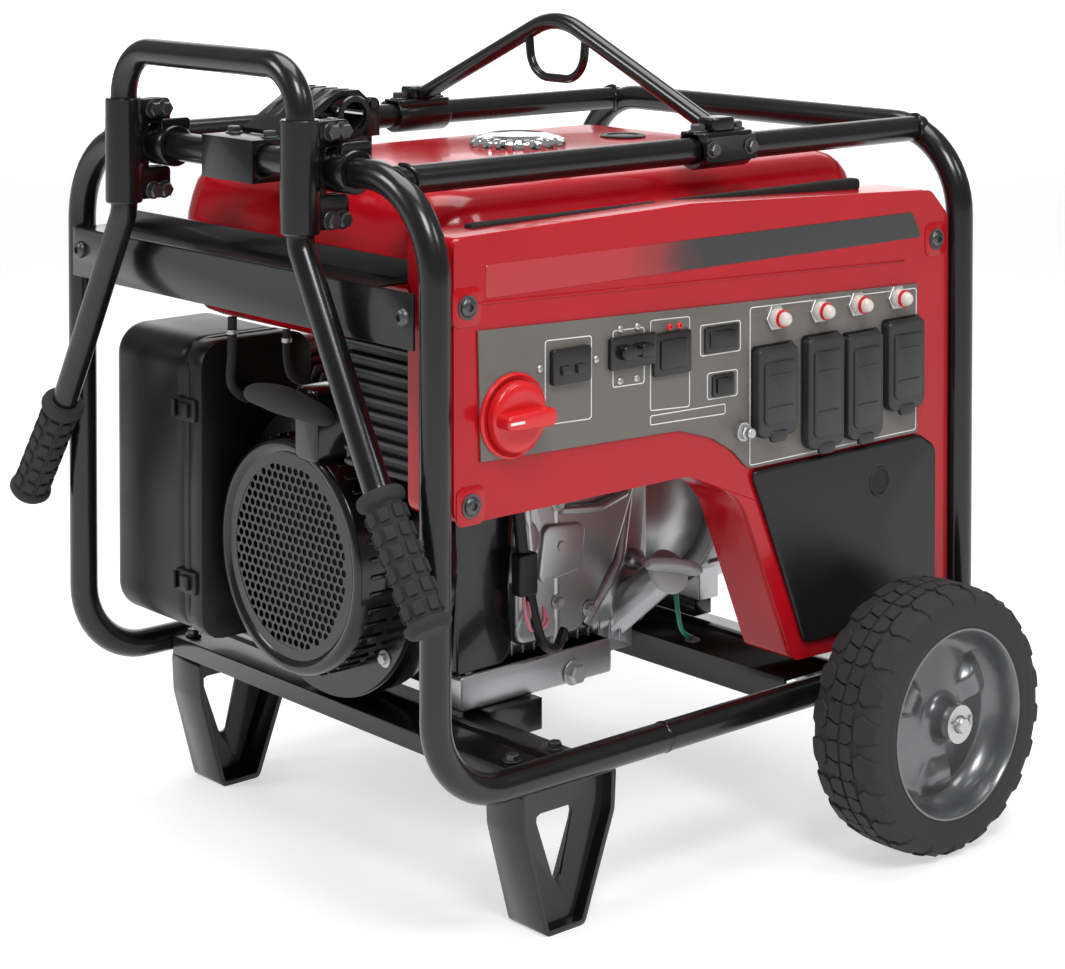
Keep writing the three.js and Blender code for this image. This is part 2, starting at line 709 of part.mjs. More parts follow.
function addIntake() {
  const plan = outline([
    [AIR.x0, AIR.z0, 24],
    [AIR.x1, AIR.z0, 24],
    [AIR.x1, AIR.z1, 24],
    [AIR.x0, AIR.z1, 24],
  ], 4);
  const split = 143;
  const body = prism(plan, "y", 119, split);
  const housing = bore("x", HOUSING_R + 2, HOUSING_X - 6, AIR.x1 + 5, 0, CRANK_Z, 32);
  const starter = bore("x", RECOIL_R + 3, AIR.x0 - 5, HOUSING_X + 5, 0, CRANK_Z, 32);
  const intake = box(AIR.x1 - 20, AIR.x1 + 11, 150 - 14, 150 - 7, 330, 400);
  part("air_cleaner_base", cut(join(body, intake), housing, starter), BLACK_PLASTIC);

  const depth = INNER_Y + 14 - split;
  const tub = prism(plan, "y", split - depth + GAP, split + depth, 16, 3);
  const inner = prism(inset(plan, 4), "y", split, split + depth - 24);
  const trim = box(AIR.x0 - 5, AIR.x1 + 5, -50, split + GAP, AIR.z0 - 5, AIR.z1 + 5);
  part("air_cleaner_cover", cut(tub, trim, inner), BLACK_PLASTIC);
}

function addStarter() {
  const back = CASE_X - 5;
  const shell = [
    [HOUSING_X, HOUSING_R - 4],
    [HOUSING_X, HOUSING_R],
    [back - 20, HOUSING_R],
    [back, HOUSING_R - 18],
    [back, SHAFT_R + 12],
    [back - 4, SHAFT_R + 12],
    [back - 4, HOUSING_R - 22],
    [back - 22, HOUSING_R - 4],
    [HOUSING_X, HOUSING_R - 4],
  ];
  part("fan_housing", turned(shell, "x", 0, CRANK_Z, 28), BLACK_PAINT);

  const seat = HOUSING_X - GAP;
  const face = seat - RECOIL_DEPTH;
  const cover = [
    [face, 0],
    [face, RECOIL_R - 10],
    [face + 6, RECOIL_R - 3],
    [seat - 3, RECOIL_R],
    [seat - 3, HOUSING_R - 2],
    [seat, HOUSING_R - 2],
    [seat, RECOIL_R - 3],
    [face + 8, RECOIL_R - 7],
    [face + 3, RECOIL_R - 12],
    [face + 3, 0],
  ];
  const guide = box(face - 8, face + 32, -54, -22, CRANK_Z + 88, CRANK_Z + 162);
  const hollow = bar("x", RECOIL_R - 4, face + 8, seat + 5, 0, CRANK_Z, 32);
  part("recoil_cover", join(turned(cover, "x", 0, CRANK_Z, 28), cut(guide, hollow)), BLACK_PAINT);

  const stalk = bar("x", 5, face - 22, face - 8 - GAP, -38, CRANK_Z + 152, 10);
  const half = 62;
  const [y, z] = [-38, CRANK_Z + 152];
  const corners = [
    [face - 22, y - half, z - 8],
    [face - 32, y - half * 0.4, z + 2],
    [face - 32, y + half * 0.4, z + 4],
    [face - 22, y + half, z - 2],
  ];
  part("recoil_grip", join(tube(bend(corners, [60, 60], 3), 14, 10), stalk), RUBBER);
}

function addRotatingGroup() {
  const blades = HOUSING_R - 40;
  const hub = (SHAFT_R + GAP) / Math.cos(Math.PI / 24);
  const wheel = [
    [HOUSING_X + 6, hub],
    [HOUSING_X + 6, 40],
    [HOUSING_X + 12, blades],
    [HOUSING_X + 34, blades],
    [HOUSING_X + 34, hub],
    [HOUSING_X + 6, hub],
  ];
  part("flywheel", turned(wheel, "x", 0, CRANK_Z, 24), CAST_ALLOY);
  const shaft = [
    [HOUSING_X - 4, 0],
    [HOUSING_X - 4, SHAFT_R],
    [BELL_X + 8, SHAFT_R],
    [BELL_X + 12, ROTOR_R],
    [STATOR_END - 18, ROTOR_R],
    [STATOR_END - 14, SHAFT_R],
    [STATOR_END + 12, SHAFT_R],
    [STATOR_END + 12, 0],
  ];
  part("crankshaft_rotor", turned(shaft, "x", 0, CRANK_Z, 20), STEEL);
}

function addAlternator() {
  const start = BELL_X + GAP;
  const body = ring("x", STATOR_R, ROTOR_R + 5, start, STATOR_END, 0, CRANK_Z, 28);
  const feet = cut(
    box(AXLE_X - 34, AXLE_X - 6, -78, 78, CRANK_Z - STATOR_R, CRANK_Z - 60),
    bore("x", ROTOR_R + 8, 0, X_REAR, 0, CRANK_Z, 28),
  );
  part("alternator_housing", join(body, feet), CAST_ALLOY);
  const shaft = SHAFT_R + SHAFT_RUN;
  const cover = [
    [STATOR_END + GAP, ROTOR_R + 6],
    [STATOR_END + GAP, STATOR_R - 2],
    [STATOR_END + 14, STATOR_R - 6],
    [STATOR_END + 20, STATOR_R - 26],
    [STATOR_END + 20, shaft],
    [STATOR_END + 16, shaft],
    [STATOR_END + 16, STATOR_R - 28],
    [STATOR_END + 10, STATOR_R - 10],
    [STATOR_END + 8, ROTOR_R + 6],
    [STATOR_END + GAP, ROTOR_R + 6],
  ];
  part("alternator_end_cover", turned(cover, "x", 0, CRANK_Z, 20), CAST_ALLOY);
}

function addMuffler() {
  const plan = outline([[32, 124, 22], [156, 124, 22], [156, 254, 22], [32, 254, 22]], 3);
  const can = prism(plan, "z", 330, 478, 10, 2);
  part("muffler", join(can, bar("x", 14, 150, 176, 200, 440, 14)), STEEL);
}

function addMounts() {
  const low = FRAME_LOW + TUBE_R + 3 + GAP;
  const top = FRAME_LOW + 9 - GAP;
  const side = FOOT_X + 18 + GAP;
  for (const [name, sign] of SIDES) {
    const y = sign * 122;
    const block = box(side, side + 66, y - 19, y + 19, top - 30, top);
    part("engine_mount_" + name, block, RUBBER);
  }
  const rear = box(AXLE_X - 32, AXLE_X - 8, -70, 70, low, CRANK_Z - STATOR_R - GAP);
  part("engine_mount_rear", rear, RUBBER);
}

// ---- Control panel --------------------------------------------------------------------------

const ARCH = [
  [PANEL_LEFT, 380, 14],
  [-40, 380, 60],
  [28, 350, 60],
  [98, PANEL_LOW + 8, 12],
];

const PLATE = [
  [PANEL_LEFT + 25, 543],
  [PANEL_RIGHT - 48, 523],
  [PANEL_RIGHT - 48, 375],
  [35, 375, 20],
  [14, 395, 20],
  [-13, 411, 30],
  [-55, 424, 40],
  [PANEL_LEFT + 28, 431],
];

// Receptacle covers: centre X, top, width and height.
const SOCKETS = [
  { x: 66, top: 486, width: 54, height: 83 },
  { x: 132, top: 488, width: 50, height: 106 },
  { x: 188, top: 484, width: 50, height: 101 },
  { x: 248, top: 490, width: 53, height: 87 },
];
const PROTECTORS = [69, 129, 183, 241];
const PROTECTOR_Z = 513;
const SWITCH = { x: -255, z: 466 };
const BREAKER = { x: -116, z: 505, w: 44, h: 20 };
const GFCI = { xs: [-199, -181], z: 498, w: 11, h: 8 };
const SELECTOR = { x: -2, z: 502, w: 34, h: 15 };
const THROTTLE = { x: 0, z: 459, w: 20, h: 14 };

function panelOutline() {
  return outline([
    [PANEL_LEFT, PANEL_TOP - 5, 8],
    ...ARCH,
    [PANEL_RIGHT, PANEL_LOW, LOW_BEND - TUBE_R - 3],
    [PANEL_RIGHT, PANEL_TOP - 40, 16],
    [PANEL_RIGHT - 26, PANEL_TOP - 14, 10],
    [-28, PANEL_TOP],
  ], 4);
}

function addShroud() {
  const back = PANEL_Y + PANEL_DEPTH;
  const skin = panelOutline();
  const body = prism(skin, "y", PANEL_Y, back);
  const hollow = prism(inset(skin, PANEL_WALL), "y", PANEL_Y + PANEL_WALL, back + 1);
  const opening = prism(inset(outline(PLATE), 4), "y", PANEL_Y - 1, PANEL_Y + PANEL_WALL + 1);
  const tankSide = box(X_FRONT, X_REAR, -RAIL_Y - 13, back + 1, TANK_LOW + 65, FRAME_TOP);
  part("panel_shroud", cut(body, hollow, opening, tankSide), RED_PAINT);
}

const slot = (spec, x = spec.x) => box(
  x - spec.w / 2 - HOLE_RUN, x + spec.w / 2 + HOLE_RUN,
  FACE_Y - 5, PLATE_Y + 5,
  spec.z - spec.h / 2 - HOLE_RUN, spec.z + spec.h / 2 + HOLE_RUN,
);

function addPlate() {
  const plate = prism(outline(PLATE, 3), "y", FACE_Y, PLATE_Y);
  const holes = [
    slot(BREAKER),
    slot(SELECTOR),
    slot(THROTTLE),
    ...GFCI.xs.map((x) => slot(GFCI, x)),
    ...PROTECTORS.map((x) => bore("y", 5 + HOLE_RUN, FACE_Y - 5, PLATE_Y + 5, x, PROTECTOR_Z, 10)),
    bore("y", 6 + HOLE_RUN, FACE_Y - 5, PLATE_Y + 5, SWITCH.x, SWITCH.z),
  ];
  part("control_plate", cut(plate, ...holes), GREY_PANEL);

  const cover = outline([
    [35, 374],
    [54, 333, 30],
    [96, 232, 30],
    [110, 196, 10],
    [302, 196, 10],
    [302, 358, 10],
    [276, 374],
  ], 3);
  part("lower_cover", prism(cover, "y", PLATE_Y - 5, PLATE_Y), BLACK_PLASTIC);
}

function addControlBox() {
  const left = X_FRONT + 39;
  const louvre = box(left, left + 8, -207, -103, 400, 530);
  const hold = box(left + 4, 60, -207, -130, 413, TANK_LOW - 7);
  part("control_box", join(louvre, hold), BLACK_PLASTIC);
}

function addControls() {
  const rim = FACE_Y - 4;
  const dish = [
    [rim - 12, 0],
    [rim - 12, 24],
    [rim - 8, 29],
    [rim, 31],
    [rim, 6],
    [PLATE_Y + 4, 6],
    [PLATE_Y + 4, 0],
  ];
  const knob = turned(dish, "y", SWITCH.x, SWITCH.z, 28);
  const ridge = box(SWITCH.x - 27, SWITCH.x + 27, rim - 24, rim - 10, SWITCH.z - 7, SWITCH.z + 7);
  part("engine_switch", join(knob, ridge), RED_KNOB);

  const lever = box(
    BREAKER.x - BREAKER.w / 2 + 2, BREAKER.x + BREAKER.w / 2 - 2,
    FACE_Y - 11, PLATE_Y + 3, BREAKER.z - 5, BREAKER.z + 5,
  );
  part("breaker_lever", lever, BLACK_PLASTIC);

  GFCI.xs.forEach((x, i) => {
    const [halfWidth, halfHeight] = [GFCI.w / 2, GFCI.h / 2];
    const key = box(x - halfWidth, x + halfWidth, FACE_Y - 9, PLATE_Y + 2, GFCI.z - halfHeight, GFCI.z + halfHeight);
    part(["gfci_reset_button", "gfci_test_button"][i], key, BLACK_PLASTIC);
  });

  for (const [name, spec] of [["voltage_selector", SELECTOR], ["throttle_rocker", THROTTLE]]) {
    const half = spec.w / 2 - 1;
    const rocker = box(-half, half, -6, 0, -spec.h / 2, spec.h / 2);
    const mesh = part(name, rocker, BLACK_PLASTIC);
    mesh.position.set(spec.x, FACE_Y + 0.5, spec.z);
    mesh.rotation.z = THREE.MathUtils.degToRad(-7);
  }

  PROTECTORS.forEach((x, i) => {
    const boot = [
      [FACE_Y - 20, 0],
      [FACE_Y - 20, 5],
      [FACE_Y - 8, 9],
      [FACE_Y - 3, 9],
      [FACE_Y - 3, 5],
      [PLATE_Y + 4, 5],
      [PLATE_Y + 4, 0],
    ];
    part("protector_button_" + (i + 1), turned(boot, "y", x, PROTECTOR_Z, 10), CLEAR_BOOT);
  });
}

function addReceptacleCovers() {
  SOCKETS.forEach(({ x, top, width, height }, i) => {
    const front = FACE_Y - 1 - COVER_T;
    const face = outline([
      [x - width / 2, top, 5],
      [x + width / 2, top, 5],
      [x + width / 2, top - height, 9],
      [x - width / 2, top - height, 9],
    ], 2);
    const flap = prism(face, "y", front, front + COVER_T, 2, 1);
    const foot = top - height;
    const finger = box(x - width / 4, x + width / 4, front - 1, front + 5, foot - 5, foot + 8);
    part("receptacle_cover_" + (i + 1), join(flap, finger), DARK_COVER);
  });
}

// ---- Build ----------------------------------------------------------------------------------

addFrame();
addCrossmembers();
addFeet();
addTankGuard();
addWheels();
addHandle();
addSleeves();
addLatch();
addLiftingBail();
addTank();
addVentHoses();
addCrankcase();
addCylinderHead();
addIntake();
addStarter();
addRotatingGroup();
addAlternator();
addMuffler();
addMounts();
addShroud();
addPlate();
addControlBox();
addControls();
addReceptacleCovers();

// The part's origin is on the ground, under the middle of its outer box.
const bounds = new THREE.Box3().setFromObject(generator);
generator.position.set(-(bounds.min.x + bounds.max.x) / 2, -(bounds.min.y + bounds.max.y) / 2, 0);

export default generator;
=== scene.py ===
"""Portable generator: smooth frame tubes, wheels, engine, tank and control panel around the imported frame.

Forms are worked out in millimetres in the frame's own axes (x = 0 midway between the end posts) and
put in the mesh in metres.
"""

import logging
import math
from dataclasses import dataclass, field
from enum import Enum

import bmesh
import bpy
import numpy as np
from mathutils import Matrix, Vector
from mathutils.geometry import tessellate_polygon


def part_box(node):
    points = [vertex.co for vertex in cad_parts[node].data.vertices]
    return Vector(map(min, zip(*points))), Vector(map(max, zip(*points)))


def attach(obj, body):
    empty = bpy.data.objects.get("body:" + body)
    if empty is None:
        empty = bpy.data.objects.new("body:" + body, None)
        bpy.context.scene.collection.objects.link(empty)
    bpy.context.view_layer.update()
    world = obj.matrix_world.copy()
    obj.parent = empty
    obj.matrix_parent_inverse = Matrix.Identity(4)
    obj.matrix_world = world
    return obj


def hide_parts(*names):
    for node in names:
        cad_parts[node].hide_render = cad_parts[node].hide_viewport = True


log = logging.getLogger("generator")
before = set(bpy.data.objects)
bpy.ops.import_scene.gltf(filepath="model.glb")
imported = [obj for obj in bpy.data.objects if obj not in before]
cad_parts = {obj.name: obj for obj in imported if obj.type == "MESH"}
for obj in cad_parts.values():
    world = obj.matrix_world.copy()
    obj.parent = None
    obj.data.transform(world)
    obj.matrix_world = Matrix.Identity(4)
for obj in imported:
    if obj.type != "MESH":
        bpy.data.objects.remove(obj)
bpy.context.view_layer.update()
Array = np.ndarray
Corner = tuple[float, ...]


def node_box(node: str) -> tuple[Array, Array]:
    """Lowest and highest corners of a CAD node, in millimetres in the frame's axes."""
    low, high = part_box(node)
    return (np.array(low) * 1000 - SHIFT, np.array(high) * 1000 - SHIFT)


def middle(node: str) -> Array:
    """The middle of a CAD node's box."""
    return sum(node_box(node)) / 2


SHIFT = np.zeros(3)
_front, _rear = node_box("frame_front_loop"), node_box("frame_rear_loop")
SHIFT = np.array([(_front[0][0] + _rear[1][0]) / 2, 0.0, 0.0])

TUBE_R = 13.6
RAIL_R = 12.7
GRIP_BAR_R = 12.5
X_REAR = node_box("frame_rear_loop")[1][0] - TUBE_R
X_FRONT = -X_REAR
Y_POST = node_box("frame_rear_loop")[1][1] - TUBE_R
FRAME_TOP = node_box("frame_rear_loop")[1][2] - TUBE_R
FRAME_LOW = node_box("frame_rear_loop")[0][2] + TUBE_R
FACE_Y = node_box("control_plate")[0][1]
PANEL_Y = node_box("panel_shroud")[0][1]
CRANK_Z = FRAME_LOW + 147


SIDES = (("panel_side", -1), ("back_side", 1))
UP = (0, 0, 1)
TO_PANEL = (0, -1, 0)
TO_BACK = (0, 1, 0)
TO_FRONT = (-1, 0, 0)
TO_REAR = (1, 0, 0)


class Axis(Enum):
    """The part's axis that a flat drawing is pushed along."""

    X = 0
    Y = 1
    Z = 2


# ---- Materials ------------------------------------------------------------------------------


class Wire:
    """A node socket whose operators add Math nodes to its tree."""

    def __init__(self, shader: "Shader", socket: bpy.types.NodeSocket) -> None:
        """Keeps the socket and the shader that owns it."""
        self.shader = shader
        self.socket = socket

    def _math(self, operation: str, a: object, b: object) -> "Wire":
        """One Math node on two values."""
        return self.shader.node("ShaderNodeMath", {"operation": operation}, {0: a, 1: b})

    def __add__(self, other: object) -> "Wire":
        """Sum."""
        return self._math("ADD", self, other)

    def __sub__(self, other: object) -> "Wire":
        """Difference."""
        return self._math("SUBTRACT", self, other)

    def __mul__(self, other: object) -> "Wire":
        """Product."""
        return self._math("MULTIPLY", self, other)


class Shader:
    """One material's node tree with a Principled surface."""

    def __init__(self, name: str) -> None:
        """Starts an empty material called name.

        Args:
            name: the material's name.
        """
        self.material = bpy.data.materials.new(name)
        self.material.use_nodes = True
        self.tree = self.material.node_tree
        self.surface = self.tree.nodes["Principled BSDF"]
        self.place = self.node("ShaderNodeTexCoord", {}, {}, "Object")

    def node(self, kind: str, settings: dict, inputs: dict, output: object = 0) -> Wire:
        """Adds any node.

        Args:
            kind: the node's type.
            settings: its own properties, set first.
            inputs: a value or a Wire for each socket, by name or place.
            output: the output that is returned.

        Returns:
            The chosen output.
        """
        made = self.tree.nodes.new(kind)
        for key, value in settings.items():
            setattr(made, key, value)
        for key, value in inputs.items():
            self.feed(made.inputs[key], value)
        return Wire(self, made.outputs[output])

    def feed(self, socket: bpy.types.NodeSocket, value: object) -> None:
        """Links a Wire to a socket, or sets the socket to a plain value."""
        if isinstance(value, Wire):
            self.tree.links.new(value.socket, socket)
        else:
            socket.default_value = value

    def set(self, **values: object) -> None:
        """Sets or links sockets of the surface; an underscore stands for a space."""
        for key, value in values.items():
            self.feed(self.surface.inputs[key.replace("_", " ")], value)

    def noise(self, scale: float, detail: float = 2.0, rough: float = 0.5) -> Wire:
        """Fractal noise over the piece, with scale in cells per metre."""
        inputs = {"Vector": self.place, "Scale": scale, "Detail": detail, "Roughness": rough}
        return self.node("ShaderNodeTexNoise", {}, inputs, 0)

    def ramp(self, value: Wire, low: float, high: float, start: float = 0.0, end: float = 1.0) -> Wire:
        """The value's stretch from low to high mapped to start to end, clamped."""
        inputs = {"Value": value, "From Min": low, "From Max": high, "To Min": start, "To Max": end}
        return self.node("ShaderNodeMapRange", {}, inputs, 0)

    def blend(self, share: object, a: object, b: object) -> Wire:
        """Colour a turning to colour b as share goes from 0 to 1, on a Mix node's colour sockets."""
        share_in, a_in, b_in, colour_out = 0, 6, 7, 2
        a, b = (value if isinstance(value, Wire) else (*value, 1.0) for value in (a, b))
        inputs = {share_in: share, a_in: a, b_in: b}
        return self.node("ShaderNodeMix", {"data_type": "RGBA"}, inputs, colour_out)

    def bump(self, height: Wire, strength: float, depth: float) -> Wire:
        """A bump normal from a height, with depth in metres."""
        inputs = {"Height": height, "Strength": strength, "Distance": depth}
        return self.node("ShaderNodeBump", {}, inputs)

    def axis(self, index: int) -> Wire:
        """One coordinate of the piece's own place, in metres."""
        return self.node("ShaderNodeSeparateXYZ", {}, {0: self.place}, index)


DUST = (0.30, 0.28, 0.26)


def tint(colour: tuple, share: float) -> tuple:
    """The colour made lighter by share, or darker where it is negative."""
    return tuple(min(1.0, channel * (1 + share) + max(0.0, share) * 0.004) for channel in colour)


@dataclass(frozen=True)
class Finish:
    """A finish shared by many pieces: base colour, gloss and a fine surface texture."""

    name: str
    slot: str
    colour: tuple[float, float, float]
    roughness: float = 0.35
    metallic: float = 0.0
    coat: float = 0.0
    specular: float = 0.5
    vary: float = 0.12
    patch: float = 14.0
    grain: float = 900.0
    grain_depth: float = 0.00006
    grain_strength: float = 0.25
    dust: float = 0.0

    def material(self) -> bpy.types.Material:
        """Builds the material once and returns it.

        Broad noise varies colour and roughness, fine noise is the texture, and dust lightens level places.

        Returns:
            The material.
        """
        if self.name in bpy.data.materials:
            return bpy.data.materials[self.name]
        shader = Shader(self.name)
        broad = shader.noise(self.patch, 4.0, 0.6)
        fine = shader.noise(self.grain, 2.0)
        colour = shader.blend(shader.ramp(broad, 0.3, 0.7), tint(self.colour, -self.vary),
                              tint(self.colour, self.vary))
        if self.dust:
            facing = shader.node("ShaderNodeNewGeometry", {}, {}, "Normal")
            up = shader.node("ShaderNodeSeparateXYZ", {}, {0: facing}, 2)
            level = shader.ramp(up, 0.2, 1.0)
            dusty = level * shader.ramp(shader.noise(60.0, 5.0, 0.7), 0.35, 0.75) * self.dust
            colour = shader.blend(dusty, colour, DUST)
        rough = shader.ramp(broad, 0.25, 0.75, self.roughness * 0.85, self.roughness * 1.2)
        shader.set(Base_Color=colour, Roughness=rough, Metallic=self.metallic, Coat_Weight=self.coat)
        shader.set(Coat_Roughness=0.05, Specular_IOR_Level=self.specular)
        shader.set(Normal=shader.bump(fine, self.grain_strength, self.grain_depth))
        return shader.material


BLACK_PAINT = Finish("frame_enamel", "frame_paint", (0.0045, 0.0045, 0.005), 0.24, coat=0.2, specular=0.4,
                     grain=500.0, grain_depth=0.0001, grain_strength=0.15)
RED_PAINT = Finish("red_enamel", "red_paint", (0.40, 0.004, 0.010), 0.2, coat=0.22, specular=0.22, vary=0.06,
                   grain=260.0, grain_depth=0.0001, grain_strength=0.05)
HOUSING = Finish("housing_enamel", "black_housing", (0.0042, 0.0042, 0.0046), 0.2, coat=0.3, specular=0.35,
                 grain=400.0, grain_strength=0.12)
PLASTIC = Finish("moulded_black", "black_plastic", (0.006, 0.006, 0.0065), 0.36, specular=0.35, grain=1600.0,
                 grain_strength=0.5)
COVER = Finish("socket_cover", "cover_plastic", (0.02, 0.02, 0.022), 0.45, grain=1800.0, grain_strength=0.45)
SWITCH = Finish("switch_black", "switch_plastic", (0.008, 0.008, 0.008), 0.25, grain_strength=0.1)
PLATE = Finish("printed_plate", "grey_plate", (0.125, 0.115, 0.105), 0.42, vary=0.07, grain=1400.0)
PRINT = Finish("white_print", "grey_plate", (0.72, 0.72, 0.70), 0.5)
KNOB = Finish("red_knob", "red_knob", (0.22, 0.007, 0.009), 0.32, vary=0.05, grain_strength=0.12)
BOOT = Finish("clear_boot", "clear_boot", (0.27, 0.24, 0.225), 0.16, coat=0.5, vary=0.2, patch=200.0)
TYRE = Finish("tyre_rubber", "tyre_rubber", (0.009, 0.009, 0.0095), 0.5, specular=0.45, grain=1100.0,
              grain_strength=0.6, dust=0.12)
RUBBER = Finish("grip_rubber", "grip_rubber", (0.007, 0.007, 0.0075), 0.36, specular=0.45, grain=900.0,
                grain_strength=0.3)
HOSE = Finish("hose_rubber", "hose_rubber", (0.012, 0.012, 0.012), 0.55)
RIM = Finish("rim_enamel", "grey_rim", (0.14, 0.143, 0.147), 0.3, metallic=0.6, coat=0.4, grain=1500.0,
             grain_strength=0.12)
ALLOY = Finish("cast_alloy", "cast_alloy", (0.70, 0.71, 0.73), 0.42, metallic=0.3, vary=0.16, patch=40.0,
               grain=700.0, grain_depth=0.00025, grain_strength=0.5)
STEEL = Finish("zinc_steel", "zinc_steel", (0.56, 0.56, 0.55), 0.3, metallic=0.95, vary=0.14, patch=90.0)
DARK_STEEL = Finish("dark_screw", "zinc_steel", (0.10, 0.10, 0.105), 0.35, metallic=0.8, patch=90.0)
CHROME = Finish("bright_chrome", "chrome_cap", (0.80, 0.81, 0.82), 0.1, metallic=1.0, vary=0.04,
                grain_strength=0.05)
GREY_CAP = Finish("grey_cap", "grey_cap", (0.36, 0.37, 0.38), 0.5, grain_strength=0.5)
PINK_WIRE = Finish("pink_wire", "hose_rubber", (0.75, 0.22, 0.30), 0.4)
GREEN_WIRE = Finish("green_wire", "hose_rubber", (0.01, 0.22, 0.15), 0.4)
# Flat black as painted shade: dark patches and discs in holes, slots and behind the starter screen, where the
# real part is open and only shaded. It also colours the stripe along the tank.
DARK = Finish("shade_and_stripe_black", "black_plastic", (0.005, 0.005, 0.005), 0.7)


@dataclass(frozen=True)
class BandFinish:
    """The stripe on the panel: the panel's red that breaks up into black along its length."""

    name: str = "stripe_band"
    slot: str = "red_paint"
    turn_x: float = -75.0
    soft: float = 45.0

    def material(self) -> bpy.types.Material:
        """Builds the fade: length along the band plus noise, mapped to a share of black.

        Returns:
            The material.
        """
        shader = Shader(self.name)
        along = shader.axis(0)
        start = (self.turn_x - self.soft + SHIFT[0]) / 1000
        end = (self.turn_x + self.soft + SHIFT[0]) / 1000
        wobble = (shader.noise(30.0, 3.0) - 0.5) * 0.05
        share = shader.ramp(along + wobble, start, end)
        shader.set(Base_Color=shader.blend(share, RED_PAINT.colour, (0.008, 0.008, 0.009)), Roughness=0.25)
        shader.set(Coat_Weight=0.5)
        return shader.material


# ---- Forms ----------------------------------------------------------------------------------


@dataclass
class Form:
    """Points and faces of a shape that is still being put together, in millimetres."""

    points: Array = field(default_factory=lambda: np.zeros((0, 3)))
    faces: list = field(default_factory=list)

    def moved(self, x: float = 0.0, y: float = 0.0, z: float = 0.0) -> "Form":
        """The shape shifted."""
        return Form(self.points + np.array([x, y, z]), self.faces)

    def turned(self, axis: tuple, degrees: float, centre: tuple = (0, 0, 0)) -> "Form":
        """The shape turned about an axis through a centre."""
        turn = np.array(Matrix.Rotation(math.radians(degrees), 3, Vector(axis)))
        return Form((self.points - np.array(centre)) @ turn.T + np.array(centre), self.faces)

    def aimed(self, direction: tuple, place: tuple) -> "Form":
        """The shape made about +Z at the origin, turned to a direction and put at a place."""
        turn = np.array(Vector(direction).to_track_quat("Z", "Y").to_matrix())
        return Form(self.points @ turn.T + np.array(place), self.faces)

    def mirrored(self) -> "Form":
        """The shape on the other side of the frame, y to -y."""
        return Form(self.points * np.array([1, -1, 1]), [face[::-1] for face in self.faces])


def total(forms: list) -> Form:
    """All the shapes in one.

    Args:
        forms: the shapes.

    Returns:
        The joined shape.
    """
    count, faces = 0, []
    for form in forms:
        faces += [tuple(index + count for index in face) for face in form.faces]
        count += len(form.points)
    return Form(np.vstack([form.points for form in forms]), faces)


def grid(points: Array, cap: bool = True, wrap_u: bool = False) -> Form:
    """Quads over a grid of points, rows along u and columns in a ring.

    Args:
        points: (rows, columns, 3) places.
        cap: whether the first and last rows are filled.
        wrap_u: whether the rows close into a ring too.

    Returns:
        The surface.
    """
    rows, columns = points.shape[:2]
    index = np.arange(rows * columns).reshape(rows, columns)
    right = np.roll(index, -1, axis=1)
    if wrap_u:
        quads = np.stack([index, right, np.roll(right, -1, 0), np.roll(index, -1, 0)], -1)
    else:
        quads = np.stack([index[:-1], right[:-1], right[1:], index[1:]], -1)
    faces = [tuple(q) for q in quads.reshape(-1, 4).tolist()]
    if cap and not wrap_u:
        faces += [tuple(index[0][::-1].tolist()), tuple(index[-1].tolist())]
    return Form(points.reshape(-1, 3).astype(float), faces)


def laid(flat: Array, along: object, axis: Axis) -> Array:
    """Drawing coordinates (a, b) and a distance along an axis as places.

    Args:
        flat: (..., 2) drawing: (y, z) for X, (x, z) for Y, (x, y) for Z.
        along: distance along the axis, one number or one for each point.
        axis: the axis.

    Returns:
        (..., 3) places.
    """
    a, b = flat[..., 0], flat[..., 1]
    along = np.broadcast_to(along, a.shape)
    order = {Axis.X: (along, a, b), Axis.Y: (a, along, b), Axis.Z: (a, b, along)}[axis]
    return np.stack(order, -1)


def turns(count: int) -> Array:
    """Angles of a whole turn in equal steps."""
    return np.arange(count) * 2 * math.pi / count


def polar(radius: object, angle: Array) -> Array:
    """Drawing coordinates at a radius and an angle."""
    return np.stack([radius * np.cos(angle), radius * np.sin(angle)], -1)


def unit(vectors: Array) -> Array:
    """Vectors made one long."""
    return vectors / np.maximum(np.linalg.norm(vectors, axis=-1, keepdims=True), 1e-9)


def rounded(corners: list[Corner], steps: int = 6) -> Array:
    """A closed outline whose corners (a, b, round) are arcs tangent to both sides.

    Args:
        corners: corner points, each with its radius.
        steps: parts of each arc.

    Returns:
        (n, 2) outline.
    """
    pieces = []
    for i, corner in enumerate(corners):
        here = np.array(corner[:2], float)
        back = np.array(corners[i - 1][:2]) - here
        ahead = np.array(corners[(i + 1) % len(corners)][:2]) - here
        back, ahead = unit(back), unit(ahead)
        radius = corner[2] if len(corner) > 2 else 0.0
        half = math.acos(float(np.clip(back @ ahead, -1, 1))) / 2
        if radius <= 0 or half > math.pi / 2 - 0.01:
            pieces.append(here[None])
            continue
        bisector = unit(back + ahead)
        middle = here + bisector * radius / math.sin(half)
        start = here + back * radius / math.tan(half) - middle
        end = here + ahead * radius / math.tan(half) - middle
        sweep = math.atan2(start[0] * end[1] - start[1] * end[0], start @ end)
        angle = np.linspace(0, sweep, steps + 1)
        arc = np.stack([start[0] * np.cos(angle) - start[1] * np.sin(angle),
                        start[0] * np.sin(angle) + start[1] * np.cos(angle)], -1)
        pieces.append(arc + middle)
    return np.vstack(pieces)


def oblong(a: tuple, b: tuple, round_: float, steps: int = 4) -> Array:
    """A rectangle between two places each way, its corners rounded."""
    return rounded([(a[0], b[0], round_), (a[1], b[0], round_), (a[1], b[1], round_), (a[0], b[1], round_)],
                   steps)


